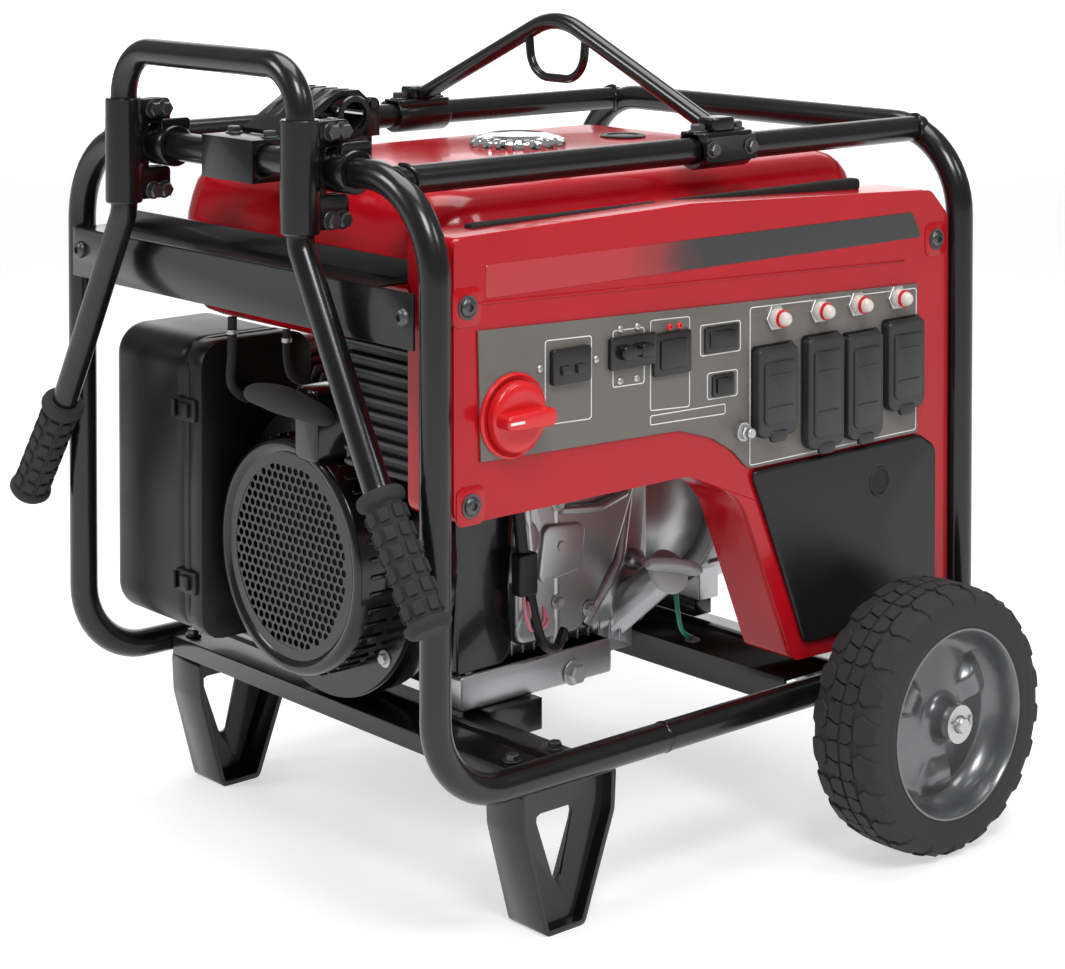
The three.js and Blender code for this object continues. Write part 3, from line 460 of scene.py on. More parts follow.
def offset(outline: Array, distance: float) -> Array:
    """The outline moved inwards by a distance, each point along the mean of its sides' normals."""
    before, after = np.roll(outline, 1, 0), np.roll(outline, -1, 0)
    arrive, leave = unit(outline - before), unit(after - outline)
    area = np.sum(outline[:, 0] * after[:, 1] - after[:, 0] * outline[:, 1])
    side = 1.0 if area > 0 else -1.0
    normal = unit(np.stack([-arrive[:, 1] - leave[:, 1], arrive[:, 0] + leave[:, 0]], -1))
    share = np.maximum(0.35, normal[:, 0] * -arrive[:, 1] + normal[:, 1] * arrive[:, 0])
    return outline + normal * (side * distance / share)[:, None]


def slab(outline: Array, axis: Axis, low: float, high: float, edge: float = 1.0, steps: int = 3,
         both: bool = True) -> Form:
    """A plate with quarter-round edges: rings of the outline, each inset by edge (1 - sin t).

    A ring rises by edge (1 - cos t), with t from 0 to a quarter turn.

    Args:
        outline: its outline.
        axis: the axis it is thick along.
        low: one face.
        high: the other face.
        edge: the radius of its edges.
        steps: rings of each edge.
        both: whether the high face's edge is rounded too, and not only the low face's.

    Returns:
        The closed shape.
    """
    rings, heights = [], []
    for t in np.linspace(0, math.pi / 2, steps + 1):
        rings.append(offset(outline, edge * (1 - math.sin(t))))
        heights.append(low + edge * (1 - math.cos(t)))
    if both:
        for t in np.linspace(math.pi / 2, 0, steps + 1):
            rings.append(offset(outline, edge * (1 - math.sin(t))))
            heights.append(high - edge * (1 - math.cos(t)))
    else:
        rings.append(outline)
        heights.append(high)
    return grid(np.stack([laid(ring, h, axis) for ring, h in zip(rings, heights)]))


def block(x: tuple, y: tuple, z: tuple, round_: float = 2.0, edge: float = 1.0, axis: Axis = Axis.Y) -> Form:
    """A box between two places with rounded corners and edges, drawn square to an axis."""
    spans = [x, y, z]
    low, high = spans.pop(axis.value)
    return slab(oblong(*spans, round_), axis, low, high, edge)


def revolved(profile: list[Corner], axis: Axis, centre: tuple[float, float], sides: int = 48,
             closed: bool = False) -> Form:
    """A profile of (along, radius) turned about an axis: each ring is the radius times (cos, sin).

    Args:
        profile: the profile's points.
        axis: the axis of turning.
        centre: where the axis stands, in the drawing's coordinates.
        sides: points round.
        closed: whether the profile closes on itself.

    Returns:
        The surface.
    """
    rings = np.array(profile, float)
    flat = polar(rings[:, 1:], turns(sides))
    points = laid(flat + np.array(centre), rings[:, :1], axis)
    return grid(points, cap=not closed, wrap_u=closed)


def spun(profile: list[Corner], direction: tuple, place: tuple, sides: int = 24) -> Form:
    """A profile of (height, radius) turned about its own axis, then aimed from a place."""
    return revolved(profile, Axis.Z, (0, 0), sides).aimed(direction, place)


def sleeve_section(low: float, high: float, hole: float, shoulder: float, radius: float,
                   edge: float) -> list[Corner]:
    """A sleeve's section: its hole, its ends up to a shoulder, and a chamfer as wide as edge."""
    return [(low, hole), (low, shoulder), (low + edge, radius), (high - edge, radius), (high, shoulder),
            (high, hole)]


def path_of(corners: list[Corner], radii: list[float], steps: int = 10) -> tuple[Array, Array]:
    """Straight runs joined by arcs.

    Args:
        corners: the corner points.
        radii: the bend radius at each inner corner.
        steps: parts of each arc.

    Returns:
        Places and unit directions along the path.
    """
    points = [np.array(corner, float) for corner in corners]
    places, headings = [points[0][None]], [unit(points[1] - points[0])[None]]
    for i in range(1, len(points) - 1):
        before, after = unit(points[i] - points[i - 1]), unit(points[i + 1] - points[i])
        turn = math.acos(float(np.clip(before @ after, -1, 1)))
        radius = radii[i - 1]
        inward = unit(after - before * math.cos(turn))
        start = points[i] - before * radius * math.tan(turn / 2)
        a = np.linspace(0, turn, steps + 1)[:, None]
        places.append(start + before * radius * np.sin(a) + inward * radius * (1 - np.cos(a)))
        headings.append(before * np.cos(a) + inward * np.sin(a))
    places.append(points[-1][None])
    headings.append(unit(points[-1] - points[-2])[None])
    return np.vstack(places), np.vstack(headings)


def carried(profile: Array, places: Array, headings: Array, cap: bool = True) -> Form:
    """A closed profile carried along a path, its frame kept from twisting by projecting the last one.

    Args:
        profile: (n, 2) outline, or (k, n, 2) with one outline for each place.
        places: the path.
        headings: unit directions along it.
        cap: whether the ends are filled.

    Returns:
        The surface.
    """
    side = np.cross(headings[0], [0.0, 0.0, 1.0])
    if np.linalg.norm(side) < 0.1:
        side = np.cross(headings[0], [0.0, 1.0, 0.0])
    sides = []
    for direction in headings:
        side = unit(side - direction * (side @ direction))
        sides.append(side)
    across = np.array(sides)
    over = np.cross(headings, across)
    drawn = profile if profile.ndim == 3 else np.broadcast_to(profile, (len(places), *profile.shape))
    points = (places[:, None] + drawn[..., :1] * across[:, None] + drawn[..., 1:] * over[:, None])
    return grid(points, cap=cap)


def circle(radius: float, sides: int = 24) -> Array:
    """A round outline."""
    return polar(radius, turns(sides))


def tube(corners: list[Corner], radii: list[float], radius: float, sides: int = 24, steps: int = 10) -> Form:
    """A round bar bent at its corners."""
    places, headings = path_of(corners, radii, steps)
    return carried(circle(radius, sides), places, headings)


def curved_tube(knots: list[Corner], radius: float, count: int = 48, sides: int = 12) -> Form:
    """A round cord through its knots on a Catmull-Rom curve, sampled evenly in its parameter.

    Args:
        knots: places that it passes through.
        radius: the cord's radius.
        count: rings.
        sides: points round.

    Returns:
        The cord.
    """
    k = np.array([knots[0], *knots, knots[-1]], float)
    t = np.linspace(0, len(knots) - 1 - 1e-6, count)
    i = t.astype(int)
    f = (t - i)[:, None]
    p0, p1, p2, p3 = k[i], k[i + 1], k[i + 2], k[i + 3]
    places = 0.5 * (2 * p1 + (p2 - p0) * f + (2 * p0 - 5 * p1 + 4 * p2 - p3) * f**2
                    + (3 * p1 - p0 - 3 * p2 + p3) * f**3)
    return carried(circle(radius, sides), places, unit(np.gradient(places, axis=0)))


def stroke(outline: Array, width: float, y: float, rise: float = 0.25) -> Form:
    """A printed line round an outline on the panel's face: a flat ring of the given width."""
    inner = offset(outline, width)
    rings = [laid(outline, y, Axis.Y), laid(outline, y - rise, Axis.Y),
             laid(inner, y - rise, Axis.Y), laid(inner, y, Axis.Y)]
    return grid(np.stack(rings), wrap_u=True)


def hex_bolt(across: float, high: float, direction: tuple, place: tuple, washer: float = 0.0) -> Form:
    """A hexagonal head with a chamfered top on an optional washer."""
    radius = across / math.sqrt(3)
    base = 1.5 if washer else 0.0
    rings = [(base, radius), (base + high * 0.8, radius), (base + high, radius * 0.84)]
    forms = [revolved(rings, Axis.Z, (0, 0), 6)]
    if washer:
        forms.append(revolved([(0, washer), (1.2, washer), (1.5, washer - 0.4)], Axis.Z, (0, 0), 24))
    return total(forms).aimed(direction, place)


def button_screw(radius: float, high: float, direction: tuple, place: tuple) -> Form:
    """A domed screw head with a hexagonal socket."""
    t = np.linspace(0, 1, 6)
    dome = [(0.0, radius)] + [(high * math.sin(a * 1.4), radius * math.cos(a * 1.1)) for a in t[1:]]
    rim = dome[-1]
    dome += [(rim[0], radius * 0.4), (rim[0] - high * 0.5, radius * 0.38)]
    return spun(dome, direction, place)


def placed(name: str, data: object) -> bpy.types.Object:
    """A new object in the scene."""
    made = bpy.data.objects.new(name, data)
    bpy.context.scene.collection.objects.link(made)
    return made


def make(name: str, form: Form | list[Form], finish: object, body: str = "generator", replaces: tuple = (),
         smooth: float = 35.0, bevel: float = 0.0, thick: float = 0.0) -> bpy.types.Object:
    """Puts a form in the scene as a finished piece that rides on a body.

    Args:
        name: the piece's name.
        form: its shape, or the shapes that make it up.
        finish: its finish.
        body: the CAD body that it rides on.
        replaces: CAD nodes that it stands for.
        smooth: edges sharper than this stay sharp, in degrees.
        bevel: width of a bevel on its sharp edges, in millimetres.
        thick: a wall given to an open surface, in millimetres.

    Returns:
        The object.
    """
    mesh = bpy.data.meshes.new(name)
    form = total(form) if isinstance(form, list) else form
    places = (form.points + SHIFT) / 1000
    mesh.from_pydata(places.tolist(), [], form.faces)
    work = bmesh.new()
    work.from_mesh(mesh)
    bmesh.ops.remove_doubles(work, verts=work.verts, dist=1e-6)
    bmesh.ops.recalc_face_normals(work, faces=work.faces)
    for face in work.faces:
        face.smooth = True
    limit = math.radians(smooth)
    for edge in work.edges:
        edge.smooth = len(edge.link_faces) == 2 and edge.calc_face_angle(0.0) < limit
    work.to_mesh(mesh)
    work.free()
    piece = placed(name, mesh)
    mesh.materials.append(finish.material())
    if thick:
        wall = piece.modifiers.new("wall", "SOLIDIFY")
        wall.thickness, wall.offset = thick / 1000, -1.0
    if bevel:
        add_bevel(piece, bevel)
    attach(piece, body)
    if replaces:
        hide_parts(*replaces)
    log.info("%s on %s", name, body)
    return piece


def add_bevel(piece: bpy.types.Object, width: float) -> None:
    """Rounds a piece's sharp edges by a width in millimetres."""
    soft = piece.modifiers.new("edge", "BEVEL")
    soft.width, soft.segments, soft.limit_method = width / 1000, 2, "ANGLE"
    soft.angle_limit = math.radians(32)
    soft.harden_normals = True


def keep(node: str, finish: Finish, bevel: float = 0.8) -> None:
    """Keeps a CAD node, with its corners welded and softened, in a finish."""
    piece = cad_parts[node]
    piece.data.materials.clear()
    piece.data.materials.append(finish.material())
    piece.data.polygons.foreach_set("use_smooth", [True] * len(piece.data.polygons))
    weld = piece.modifiers.new("weld", "WELD")
    weld.merge_threshold = 1e-5
    add_bevel(piece, bevel)


# ---- Camera, floor and lights -----------------------------------------------------------------


@dataclass
class Studio:
    """Camera, pale floor and soft lights."""

    place: tuple[float, float, float] = (-1711.2, -1963.8, 940.2)
    azimuth: float = 48.755
    down: float = 1.632
    lens: float = 88.56
    shift: tuple[float, float] = (0.001, -0.5157)

    def build(self) -> None:
        """Makes the camera, floor, lights and world."""
        a, d = math.radians(self.azimuth), math.radians(self.down)
        look = Vector((math.cos(d) * math.cos(a), math.cos(d) * math.sin(a), -math.sin(d)))
        data = bpy.data.cameras.new("camera")
        data.sensor_width = 36.0
        lean = [amount * data.sensor_width / self.lens for amount in self.shift]
        data.lens = self.lens * math.hypot(1.0, *lean)
        camera = placed("camera", data)
        camera.location = Vector((np.array(self.place) + SHIFT) / 1000)
        camera.rotation_euler = look.to_track_quat("-Z", "Y").to_euler()
        bpy.context.scene.camera = camera
        self.lean(camera, lean)
        self.floor()
        self.light("key", (-1.3, -2.4, 3.4), 1.2, 92.0)
        self.light("left", (-2.9, 1.6, 2.6), 1.0, 42.0)
        self.light("top", (0.2, 0.2, 3.2), 2.0, 66.0)
        self.light("right", (1.4, -3.0, 3.0), 0.9, 24.0)
        world = bpy.data.worlds.new("world")
        world.use_nodes = True
        sky = world.node_tree.nodes["Background"].inputs
        sky["Color"].default_value = (1.0, 1.0, 1.0, 1.0)
        sky["Strength"].default_value = 0.26
        bpy.context.scene.world = world
        bpy.context.scene.view_settings.view_transform = "Standard"

    @staticmethod
    def lean(camera: bpy.types.Object, lean: list) -> None:
        """Leans the camera's line of sight against its picture plane, as a rising lens front does.

        The plane stays upright while the line of sight becomes Z minus the lean times X and Y, which a
        sheared link to an empty holder gives.

        Args:
            camera: The camera, already placed.
            lean: Tangents of the lean across and up.
        """
        holder = placed("camera_holder", None)
        straight = camera.matrix_basis.copy()
        shear = Matrix.Identity(4)
        shear[0][2], shear[1][2] = -lean[0], -lean[1]
        camera.parent = holder
        camera.matrix_parent_inverse = straight @ shear @ straight.inverted()

    def floor(self) -> None:
        """A wide pale floor under the part, with a bright wall behind it."""
        self.sheet("pale_floor", [(-30.0, -30.0, 0), (7.0, -30.0, 0), (7.0, 30.0, 0), (-30.0, 30.0, 0)],
                   0.55, 0.56)
        self.sheet("bright_wall", [(7.0, -3.4, -0.1), (7.0, 3.4, -0.1), (7.0, 3.4, 5.0), (7.0, -3.4, 5.0)],
                   0.8, 1.0)

    def sheet(self, name: str, corners: list, grey: float, glow: float) -> None:
        """A flat stage piece.

        Args:
            name: Name of the piece.
            corners: Metres along the view, across it and up, from under the part.
            grey: Base colour.
            glow: Emission strength.
        """
        heading = math.radians(self.azimuth)
        away = Vector((math.cos(heading), math.sin(heading), 0))
        side = Vector((-math.sin(heading), math.cos(heading), 0))
        mesh = bpy.data.meshes.new(name)
        mesh.from_pydata([away * a + side * b + Vector((0, 0, z)) for a, b, z in corners], [], [(0, 3, 2, 1)])
        piece = placed(name, mesh)
        shader = Shader(name)
        shader.set(Base_Color=(grey, grey, grey, 1.0), Roughness=0.9)
        shader.set(Emission_Color=(1.0, 1.0, 1.0, 1.0), Emission_Strength=glow)
        mesh.materials.append(shader.material)

    def light(self, name: str, place: tuple, size: float, power: float) -> None:
        """A square area light aimed at the middle of the part."""
        data = bpy.data.lights.new(name, "AREA")
        data.size, data.energy = size, power
        lamp = placed(name, data)
        lamp.location = place
        aim = Vector((0.0, 0.0, 0.4)) - Vector(place)
        lamp.rotation_euler = aim.to_track_quat("-Z", "Y").to_euler()


# ---- Frame ----------------------------------------------------------------------------------


@dataclass
class TubeFrame:
    """End loops, side rails, cross-members, feet, tank guard and lifting bail."""

    top_bend: float = 86.0
    low_bend: float = 72.0
    rail_y: float = 225.5
    seam: float = -74.0

    def build(self) -> None:
        """Builds every tube and dresses the pressed members."""
        for name, x, end in (("front", X_FRONT, self.seam - 0.15), ("rear", X_REAR, self.seam + 0.15)):
            corners = [(end, -Y_POST, FRAME_LOW), (x, -Y_POST, FRAME_LOW), (x, -Y_POST, FRAME_TOP),
                       (x, Y_POST, FRAME_TOP), (x, Y_POST, FRAME_LOW), (end, Y_POST, FRAME_LOW)]
            bends = [self.low_bend, self.top_bend, self.top_bend, self.low_bend]
            loop = tube(corners, bends, TUBE_R, 32, 14)
            make(f"{name}_loop", loop, BLACK_PAINT, replaces=(f"frame_{name}_loop",))
        self.rails()
        for node in ("front_crossmember", "rear_crossmember", "foot_panel_side", "foot_back_side",
                     "tank_guard"):
            keep(node, BLACK_PAINT, 1.2)
        keep("axle", STEEL, 0.5)
        self.bail()
        self.fasteners()

    def rails(self) -> None:
        """Top side rails with the weld bead where each meets a loop."""
        z = middle("top_rail_panel_side")[2]
        for side, sign in SIDES:
            y = sign * self.rail_y
            rail = tube([(X_FRONT, y, z), (X_REAR, y, z)], [], RAIL_R, 32)
            beads = []
            for x, way in ((X_FRONT, 1), (X_REAR, -1)):
                angle = np.linspace(0, 2 * math.pi, 40, endpoint=False)
                radius = RAIL_R + 1.0
                dip = np.sqrt(np.maximum(TUBE_R**2 - (radius * np.sin(angle) * 0.9) ** 2, 0)) + 0.6
                places = np.stack([x + way * dip, y + radius * np.cos(angle), z + radius * np.sin(angle)], -1)
                headings = unit(np.roll(places, -1, 0) - np.roll(places, 1, 0))
                beads.append(carried(circle(2.0, 8), places, headings, cap=False))
            make("side_rail_" + side, rail, BLACK_PAINT, replaces=("top_rail_" + side,))
            make("rail_weld_" + side, beads, BLACK_PAINT)

    def bail(self) -> None:
        """The bent lifting bar, its eye and the two clamps on the side rails."""
        x = middle("lifting_bail")[0]
        rail_z = FRAME_TOP - 2.4
        foot, foot_z, top = self.rail_y - 11, rail_z + 22, FRAME_TOP + 115
        bar = tube([(x, -foot - 8, foot_z - 4), (x, 0, top), (x, foot + 8, foot_z - 4)], [80], 8.5, 24, 14)
        hang = top - 43 * (top - foot_z) / foot
        eye = tube([(x, -43, hang), (x, -38, hang - 46), (x, 38, hang - 46), (x, 43, hang)], [28, 28], 4.5,
                   16, 12)
        forms = [bar, eye]
        for sign in (-1, 1):
            y = sign * self.rail_y
            section = sleeve_section(x - 34, x + 34, RAIL_R + 0.4, RAIL_R + 4.5, RAIL_R + 5.5, 2)
            forms.append(revolved(section, Axis.X, (y, rail_z), 40))
            forms.append(block((x - 34, x + 34), (y - 17, y + 17), (rail_z + 9, rail_z + 17), 6, 1.5, Axis.Z))
            forms.append(block((x - 15, x + 15), (y - 12, y + 12), (rail_z + 16, rail_z + 30), 6, 2.5,
                               Axis.Z))
            forms.append(block((x - 34, x + 34), (y + sign * 15, y + sign * 20), (rail_z - 10, rail_z + 14),
                               3, 1.2))
        make("bail", forms, BLACK_PAINT, replaces=("lifting_bail",))
        bolts = []
        for sign in (-1, 1):
            for dx in (-25, 25):
                bolts.append(hex_bolt(12, 6, UP, (x + dx, sign * self.rail_y, rail_z + 17), 9))
                bolts.append(hex_bolt(11, 5, (0, sign, 0), (x + dx, sign * (self.rail_y + 20), rail_z + 2),
                                      8))
        make("bail_bolts", bolts, DARK_STEEL)

    def fasteners(self) -> None:
        """Screws of the tank guard, the loops' seam sleeves and the foot bolts."""
        screws = [button_screw(8.5, 5, TO_FRONT, (X_FRONT - TUBE_R - 2.7, sign * 254, FRAME_TOP - 113))
                  for sign in (-1, 1)]
        screws += [hex_bolt(11, 5, UP, (X_FRONT + 110 + dx, sign * 248, FRAME_LOW + 6), 8)
                   for sign in (-1, 1) for dx in (0, 50)]
        make("frame_screws", screws, DARK_STEEL)
        seams = []
        for sign in (-1, 1):
            rings = [(self.seam - 2.5, TUBE_R - 0.2), (self.seam - 1.2, TUBE_R + 0.7),
                     (self.seam + 1.2, TUBE_R + 0.7), (self.seam + 2.5, TUBE_R - 0.2)]
            seams.append(revolved(rings, Axis.X, (sign * Y_POST, FRAME_LOW), 32))
        make("frame_seams", seams, BLACK_PAINT)


# ---- Wheels ---------------------------------------------------------------------------------


@dataclass
class Wheel:
    """A block-tread tyre on a pressed steel rim."""

    side: str
    sign: int
    radius: float = 127.0
    width: float = 80.0
    rim: float = 88.0
    blocks: int = 22

    def build(self) -> None:
        """Builds the tyre, its tread and the rim."""
        self.x, self.y = middle("tyre_" + self.side)[:2]
        body = "wheel_" + self.side
        make("tyre_body_" + self.side, self.carcass(), TYRE, body, replaces=("tyre_" + self.side,), smooth=50)
        make("tyre_tread_" + self.side, self.tread(), TYRE, body, smooth=25)
        make("wheel_rim_" + self.side, self.dish(), RIM, body, replaces=("rim_" + self.side,), smooth=45)
        make("wheel_hub_" + self.side, self.hub(), STEEL, body, smooth=40)

    def turned(self, profile: list[Corner], sides: int = 72, closed: bool = True) -> Form:
        """A profile of (outboard distance from the middle, radius) about the axle."""
        placed = [(self.y + self.sign * along, r) for along, r in profile]
        return revolved(placed, Axis.Y, (self.x, self.radius), sides, closed)

    def carcass(self) -> Form:
        """The tyre's body under the tread, with a bead ridge on its wall."""
        half = self.width / 2
        wall = [(half - 3, self.rim), (half - 1, self.rim + 3), (half, self.rim + 9),
                (half - 0.8, self.rim + 12), (half - 0.2, self.rim + 16), (half - 0.6, self.radius - 17),
                (half - 1.8, self.radius - 12), (half - 4, self.radius - 8.2),
                (half - 10, self.radius - 4.2), (0, self.radius - 2.4)]
        mirror = [(-a, r) for a, r in wall[-2::-1]]
        return self.turned(wall + mirror, 96)

    def tread(self) -> Form:
        """Blocks round the tyre: each is a patch of the crown, its outline skewed into an arrow.

        A block's top follows the crown: the radius less 0.0015 times the distance across squared, and
        less 0.042 times the distance past the shoulder squared. Its sides drop to the carcass.

        Returns:
            All blocks.
        """
        pitch = 2 * math.pi / self.blocks
        patterns = [
            [(-39, 0.16), (-39, 0.66), (-23, 0.80), (-17, 0.62), (-17, 0.22), (-24, 0.04)],
            [(-15, 0.06), (-15, 0.40), (-5, 0.52), (-1, 0.52), (-1, 0.02), (-6, -0.04)],
            [(1.5, 0.50), (1.5, 0.98), (8, 1.0), (15, 0.86), (15, 0.56), (6, 0.46)],
            [(17, 0.30), (17, 0.78), (24, 0.92), (39, 0.80), (39, 0.34), (24, 0.14)],
            [(-15, 0.48), (-15, 0.90), (-4, 0.98), (-1, 0.90), (-1, 0.58)],
            [(2, -0.02), (2, 0.44), (14, 0.48), (15, 0.10), (10, -0.02)],
        ]
        forms = []
        for pattern in patterns:
            outline = np.array(pattern)
            fine = np.concatenate([outline + (np.roll(outline, -1, 0) - outline) * t for t in (0, 0.5)], 1)
            fine = fine.reshape(-1, 2)
            for i in range(self.blocks):
                forms.append(self.one_block(fine, i * pitch, pitch))
        return total(forms)

    def one_block(self, outline: Array, start: float, pitch: float) -> Form:
        """One block from its outline of (distance across, share of the pitch)."""
        rings = []
        centre = outline.mean(0)
        for shrink, drop in ((1.0, 9.0), (1.0, 1.0), (0.93, 0.0)):
            across = centre[0] + (outline[:, 0] - centre[0]) * shrink
            angle = start + (centre[1] + (outline[:, 1] - centre[1]) * shrink) * pitch * 0.97
            shoulder = np.maximum(np.abs(across) - 27, 0)
            crown = self.radius - 0.0015 * across**2 - 0.042 * shoulder**2
            r = crown - drop
            rings.append(np.stack([self.x + r * np.cos(angle), self.y + self.sign * across,
                                   self.radius + r * np.sin(angle)], -1))
        return grid(np.stack(rings))

    def dish(self) -> Form:
        """The rim: a profile turned about the axle, with three pressed swells on its face.

        The face moves outboard by 11 mm times a bump in angle and radius, one for each swell.

        Returns:
            The closed rim.
        """
        half = self.width / 2
        face = [(half - 3, self.rim + 2.5), (half - 0.5, self.rim + 1.5), (half - 0.5, self.rim - 0.5),
                (half - 4, self.rim - 3), (half - 14, self.rim - 4.5), (half - 24, self.rim - 8),
                (half - 31, self.rim - 14)]
        radii = np.linspace(self.rim - 18, 24, 14)
        disc = [(half - 33 + 9 * ((74 - r) / 50) ** 1.2 if r < 74 else half - 33, r) for r in radii]
        hub = [(half - 20, 20), (half - 8, 18.5), (half - 8, 8.2), (-half, 8.2), (-half, 19), (half - 44, 22)]
        back = [(half - 39, 70), (half - 34, self.rim - 9), (-half + 8, self.rim - 5),
                (-half + 2, self.rim - 1), (-half + 2, self.rim + 1)]
        profile = np.array(face + disc + hub + back)
        sides = 144
        angle = turns(sides)
        along = np.repeat(profile[:, :1], sides, 1)
        radius = np.repeat(profile[:, 1:], sides, 1)
        swell = np.clip(np.cos(3 * (angle - 0.5)) * 2.6 - 1.2, 0, 1)
        swell = swell * swell * (3 - 2 * swell)
        reach = np.clip(1 - ((radius - 56) / 19) ** 2, 0, 1)
        on_face = (np.arange(len(profile)) < len(face) + len(disc))[:, None]
        along = along + on_face * reach * swell[None] * 11.0
        flat = polar(radius, angle) + np.array([self.x, self.radius])
        return grid(laid(flat, self.y + self.sign * along, Axis.Y), cap=False, wrap_u=True)

    def hub(self) -> Form:
        """Bush, washers, the axle's end and its split pin."""
        half = self.width / 2
        out = (0, self.sign, 0)
        end = self.y + self.sign * (half + 2)
        forms = [self.turned([(half - 9, 9), (half - 9, 15.5), (half - 3, 15.5), (half - 2, 14.5),
                              (half - 2, 9)], 40),
                 self.turned([(half - 2, 8.4), (half - 2, 18), (half - 0.2, 18), (half - 0.2, 8.4)], 40),
                 spun([(0, 7.6), (5, 7.6), (6.5, 6.4)], out, (self.x, end - self.sign * 3, self.radius), 32)]
        y = self.y + self.sign * (half + 0.8)
        pin = tube([(self.x - 12, y, self.radius + 4), (self.x + 12, y, self.radius - 4),
                    (self.x + 15, y, self.radius + 6)], [2.5], 1.3, 8, 4)
        return total([*forms, pin])


# ---- Handle and latch -------------------------------------------------------------------------


@dataclass
class Handle:
    """The folding handle with its grips and sleeves."""

    half: float = 140.0
    knee_drop: float = 62.0
    collar: tuple[float, float] = (247.0, 255.4)
    grip_end: tuple[float, float] = (318.0, 360.4)
    grip_length: float = 126.7
    grip_gap: float = 3.0
    rise: float = 91.6

    def build(self) -> None:
        """Builds the bent tube, both grips and both sleeves."""
        self.x = middle("handle_tube")[0]
        knee, top = FRAME_TOP - self.knee_drop, FRAME_TOP + self.rise
        collar = (self.x, self.collar[0], FRAME_TOP - self.collar[1])
        end = (self.x, self.grip_end[0], FRAME_TOP - self.grip_end[1])
        down = unit(np.array(end) - np.array(collar))
        tip = tuple(np.array(end) - down * 6.3)
        legs = [tip, collar, (self.x, self.half, knee), (self.x, self.half, top)]
        other = [(x, -y, z) for x, y, z in legs[::-1]]
        bar = tube(legs + other, [60, 32, 45, 45, 32, 60], GRIP_BAR_R, 32, 14)
        make("handle_bar", bar, BLACK_PAINT, "handle", ("handle_tube",))
        for side, sign in SIDES:
            grip = self.grip(np.array(collar), down)
            sleeve = self.sleeve()
            bolts = self.bolts()
            if sign < 0:
                grip, sleeve = grip.mirrored(), sleeve.mirrored()
            make("hand_grip_" + side, grip, RUBBER, "handle", ("grip_" + side,), smooth=40, bevel=0.5)
            make("pivot_sleeve_" + side, sleeve, BLACK_PAINT, "handle", ("handle_sleeve_" + side,), smooth=40)
            shift = 0 if sign > 0 else -2 * self.half
            make("sleeve_bolts_" + side, bolts.moved(y=shift), DARK_STEEL, "handle", smooth=30)

    def grip(self, collar: Array, down: Array) -> Form:
        """A grip with end flanges and rows of raised pads round it."""
        length = self.grip_length - self.grip_gap
        profile = [(0, 13), (0, 18.5), (2, 20.5), (6, 21.5), (10, 20.5), (13, 16), (length - 11, 16),
                   (length - 9, 20.5), (length - 5, 21), (length - 3, 19.5), (length, 17)]
        body = revolved([(a, min(r, 21.5)) for a, r in profile], Axis.Z, (0, 0), 40)
        pads = []
        for row in range(6):
            for i in range(8):
                pad = block((15.0, 18.4), (-4.6, 4.6), (-5.6, 5.6), 1.6, 0.8, Axis.X)
                pads.append(pad.turned((0, 0, 1), 45 * i).moved(z=22 + row * (length - 42) / 5))
        start = collar + down * self.grip_gap
        return total([body, *pads]).aimed(tuple(down), tuple(start))

    def sleeve(self) -> Form:
        """The split sleeve on the leg, its ears and the knuckle round the end rail."""
        low, high = FRAME_TOP - 53, FRAME_TOP + 46
        y, x = self.half, self.x
        barrel = revolved(sleeve_section(low, high, 12.8, 16.3, 17.5, 1.4), Axis.Z, (x, y), 40, True)
        knuckle = revolved(sleeve_section(y - 32, y + 32, 14.1, 18.4, 19.6, 1.5), Axis.Y,
                           (X_FRONT, FRAME_TOP), 40, True)
        ears = [
            block((x + 10, X_FRONT + 9), (y + a, y + b), (FRAME_TOP + c, FRAME_TOP + d), 5, 1.2)
            for a, b in ((-8, -2.5), (2.5, 8)) for c, d in ((20, 44), (-51, -21))
        ]
        web = block((x + 8, X_FRONT - 13.5), (y - 6, y + 6), (low + 4, high - 4), 4, 1.5)
        ribs = [block((X_FRONT - 14, X_FRONT + 18), (y + t - 2, y + t + 2), (FRAME_TOP + 14, FRAME_TOP + 26),
                      4, 1) for t in (-26, 26)]
        return total([barrel, knuckle, web, *ears, *ribs])

    def bolts(self) -> Form:
        """Bolts through the sleeve's ears, heads towards the panel side."""
        forms = []
        for dz in (34, -43):
            for x in (self.x + 27, X_FRONT + 1):
                forms.append(hex_bolt(12, 6.5, TO_PANEL, (x, self.half - 8, FRAME_TOP + dz), 8.5))
                forms.append(hex_bolt(12, 6, TO_BACK, (x, self.half + 8, FRAME_TOP + dz), 8.5))
        return total(forms)


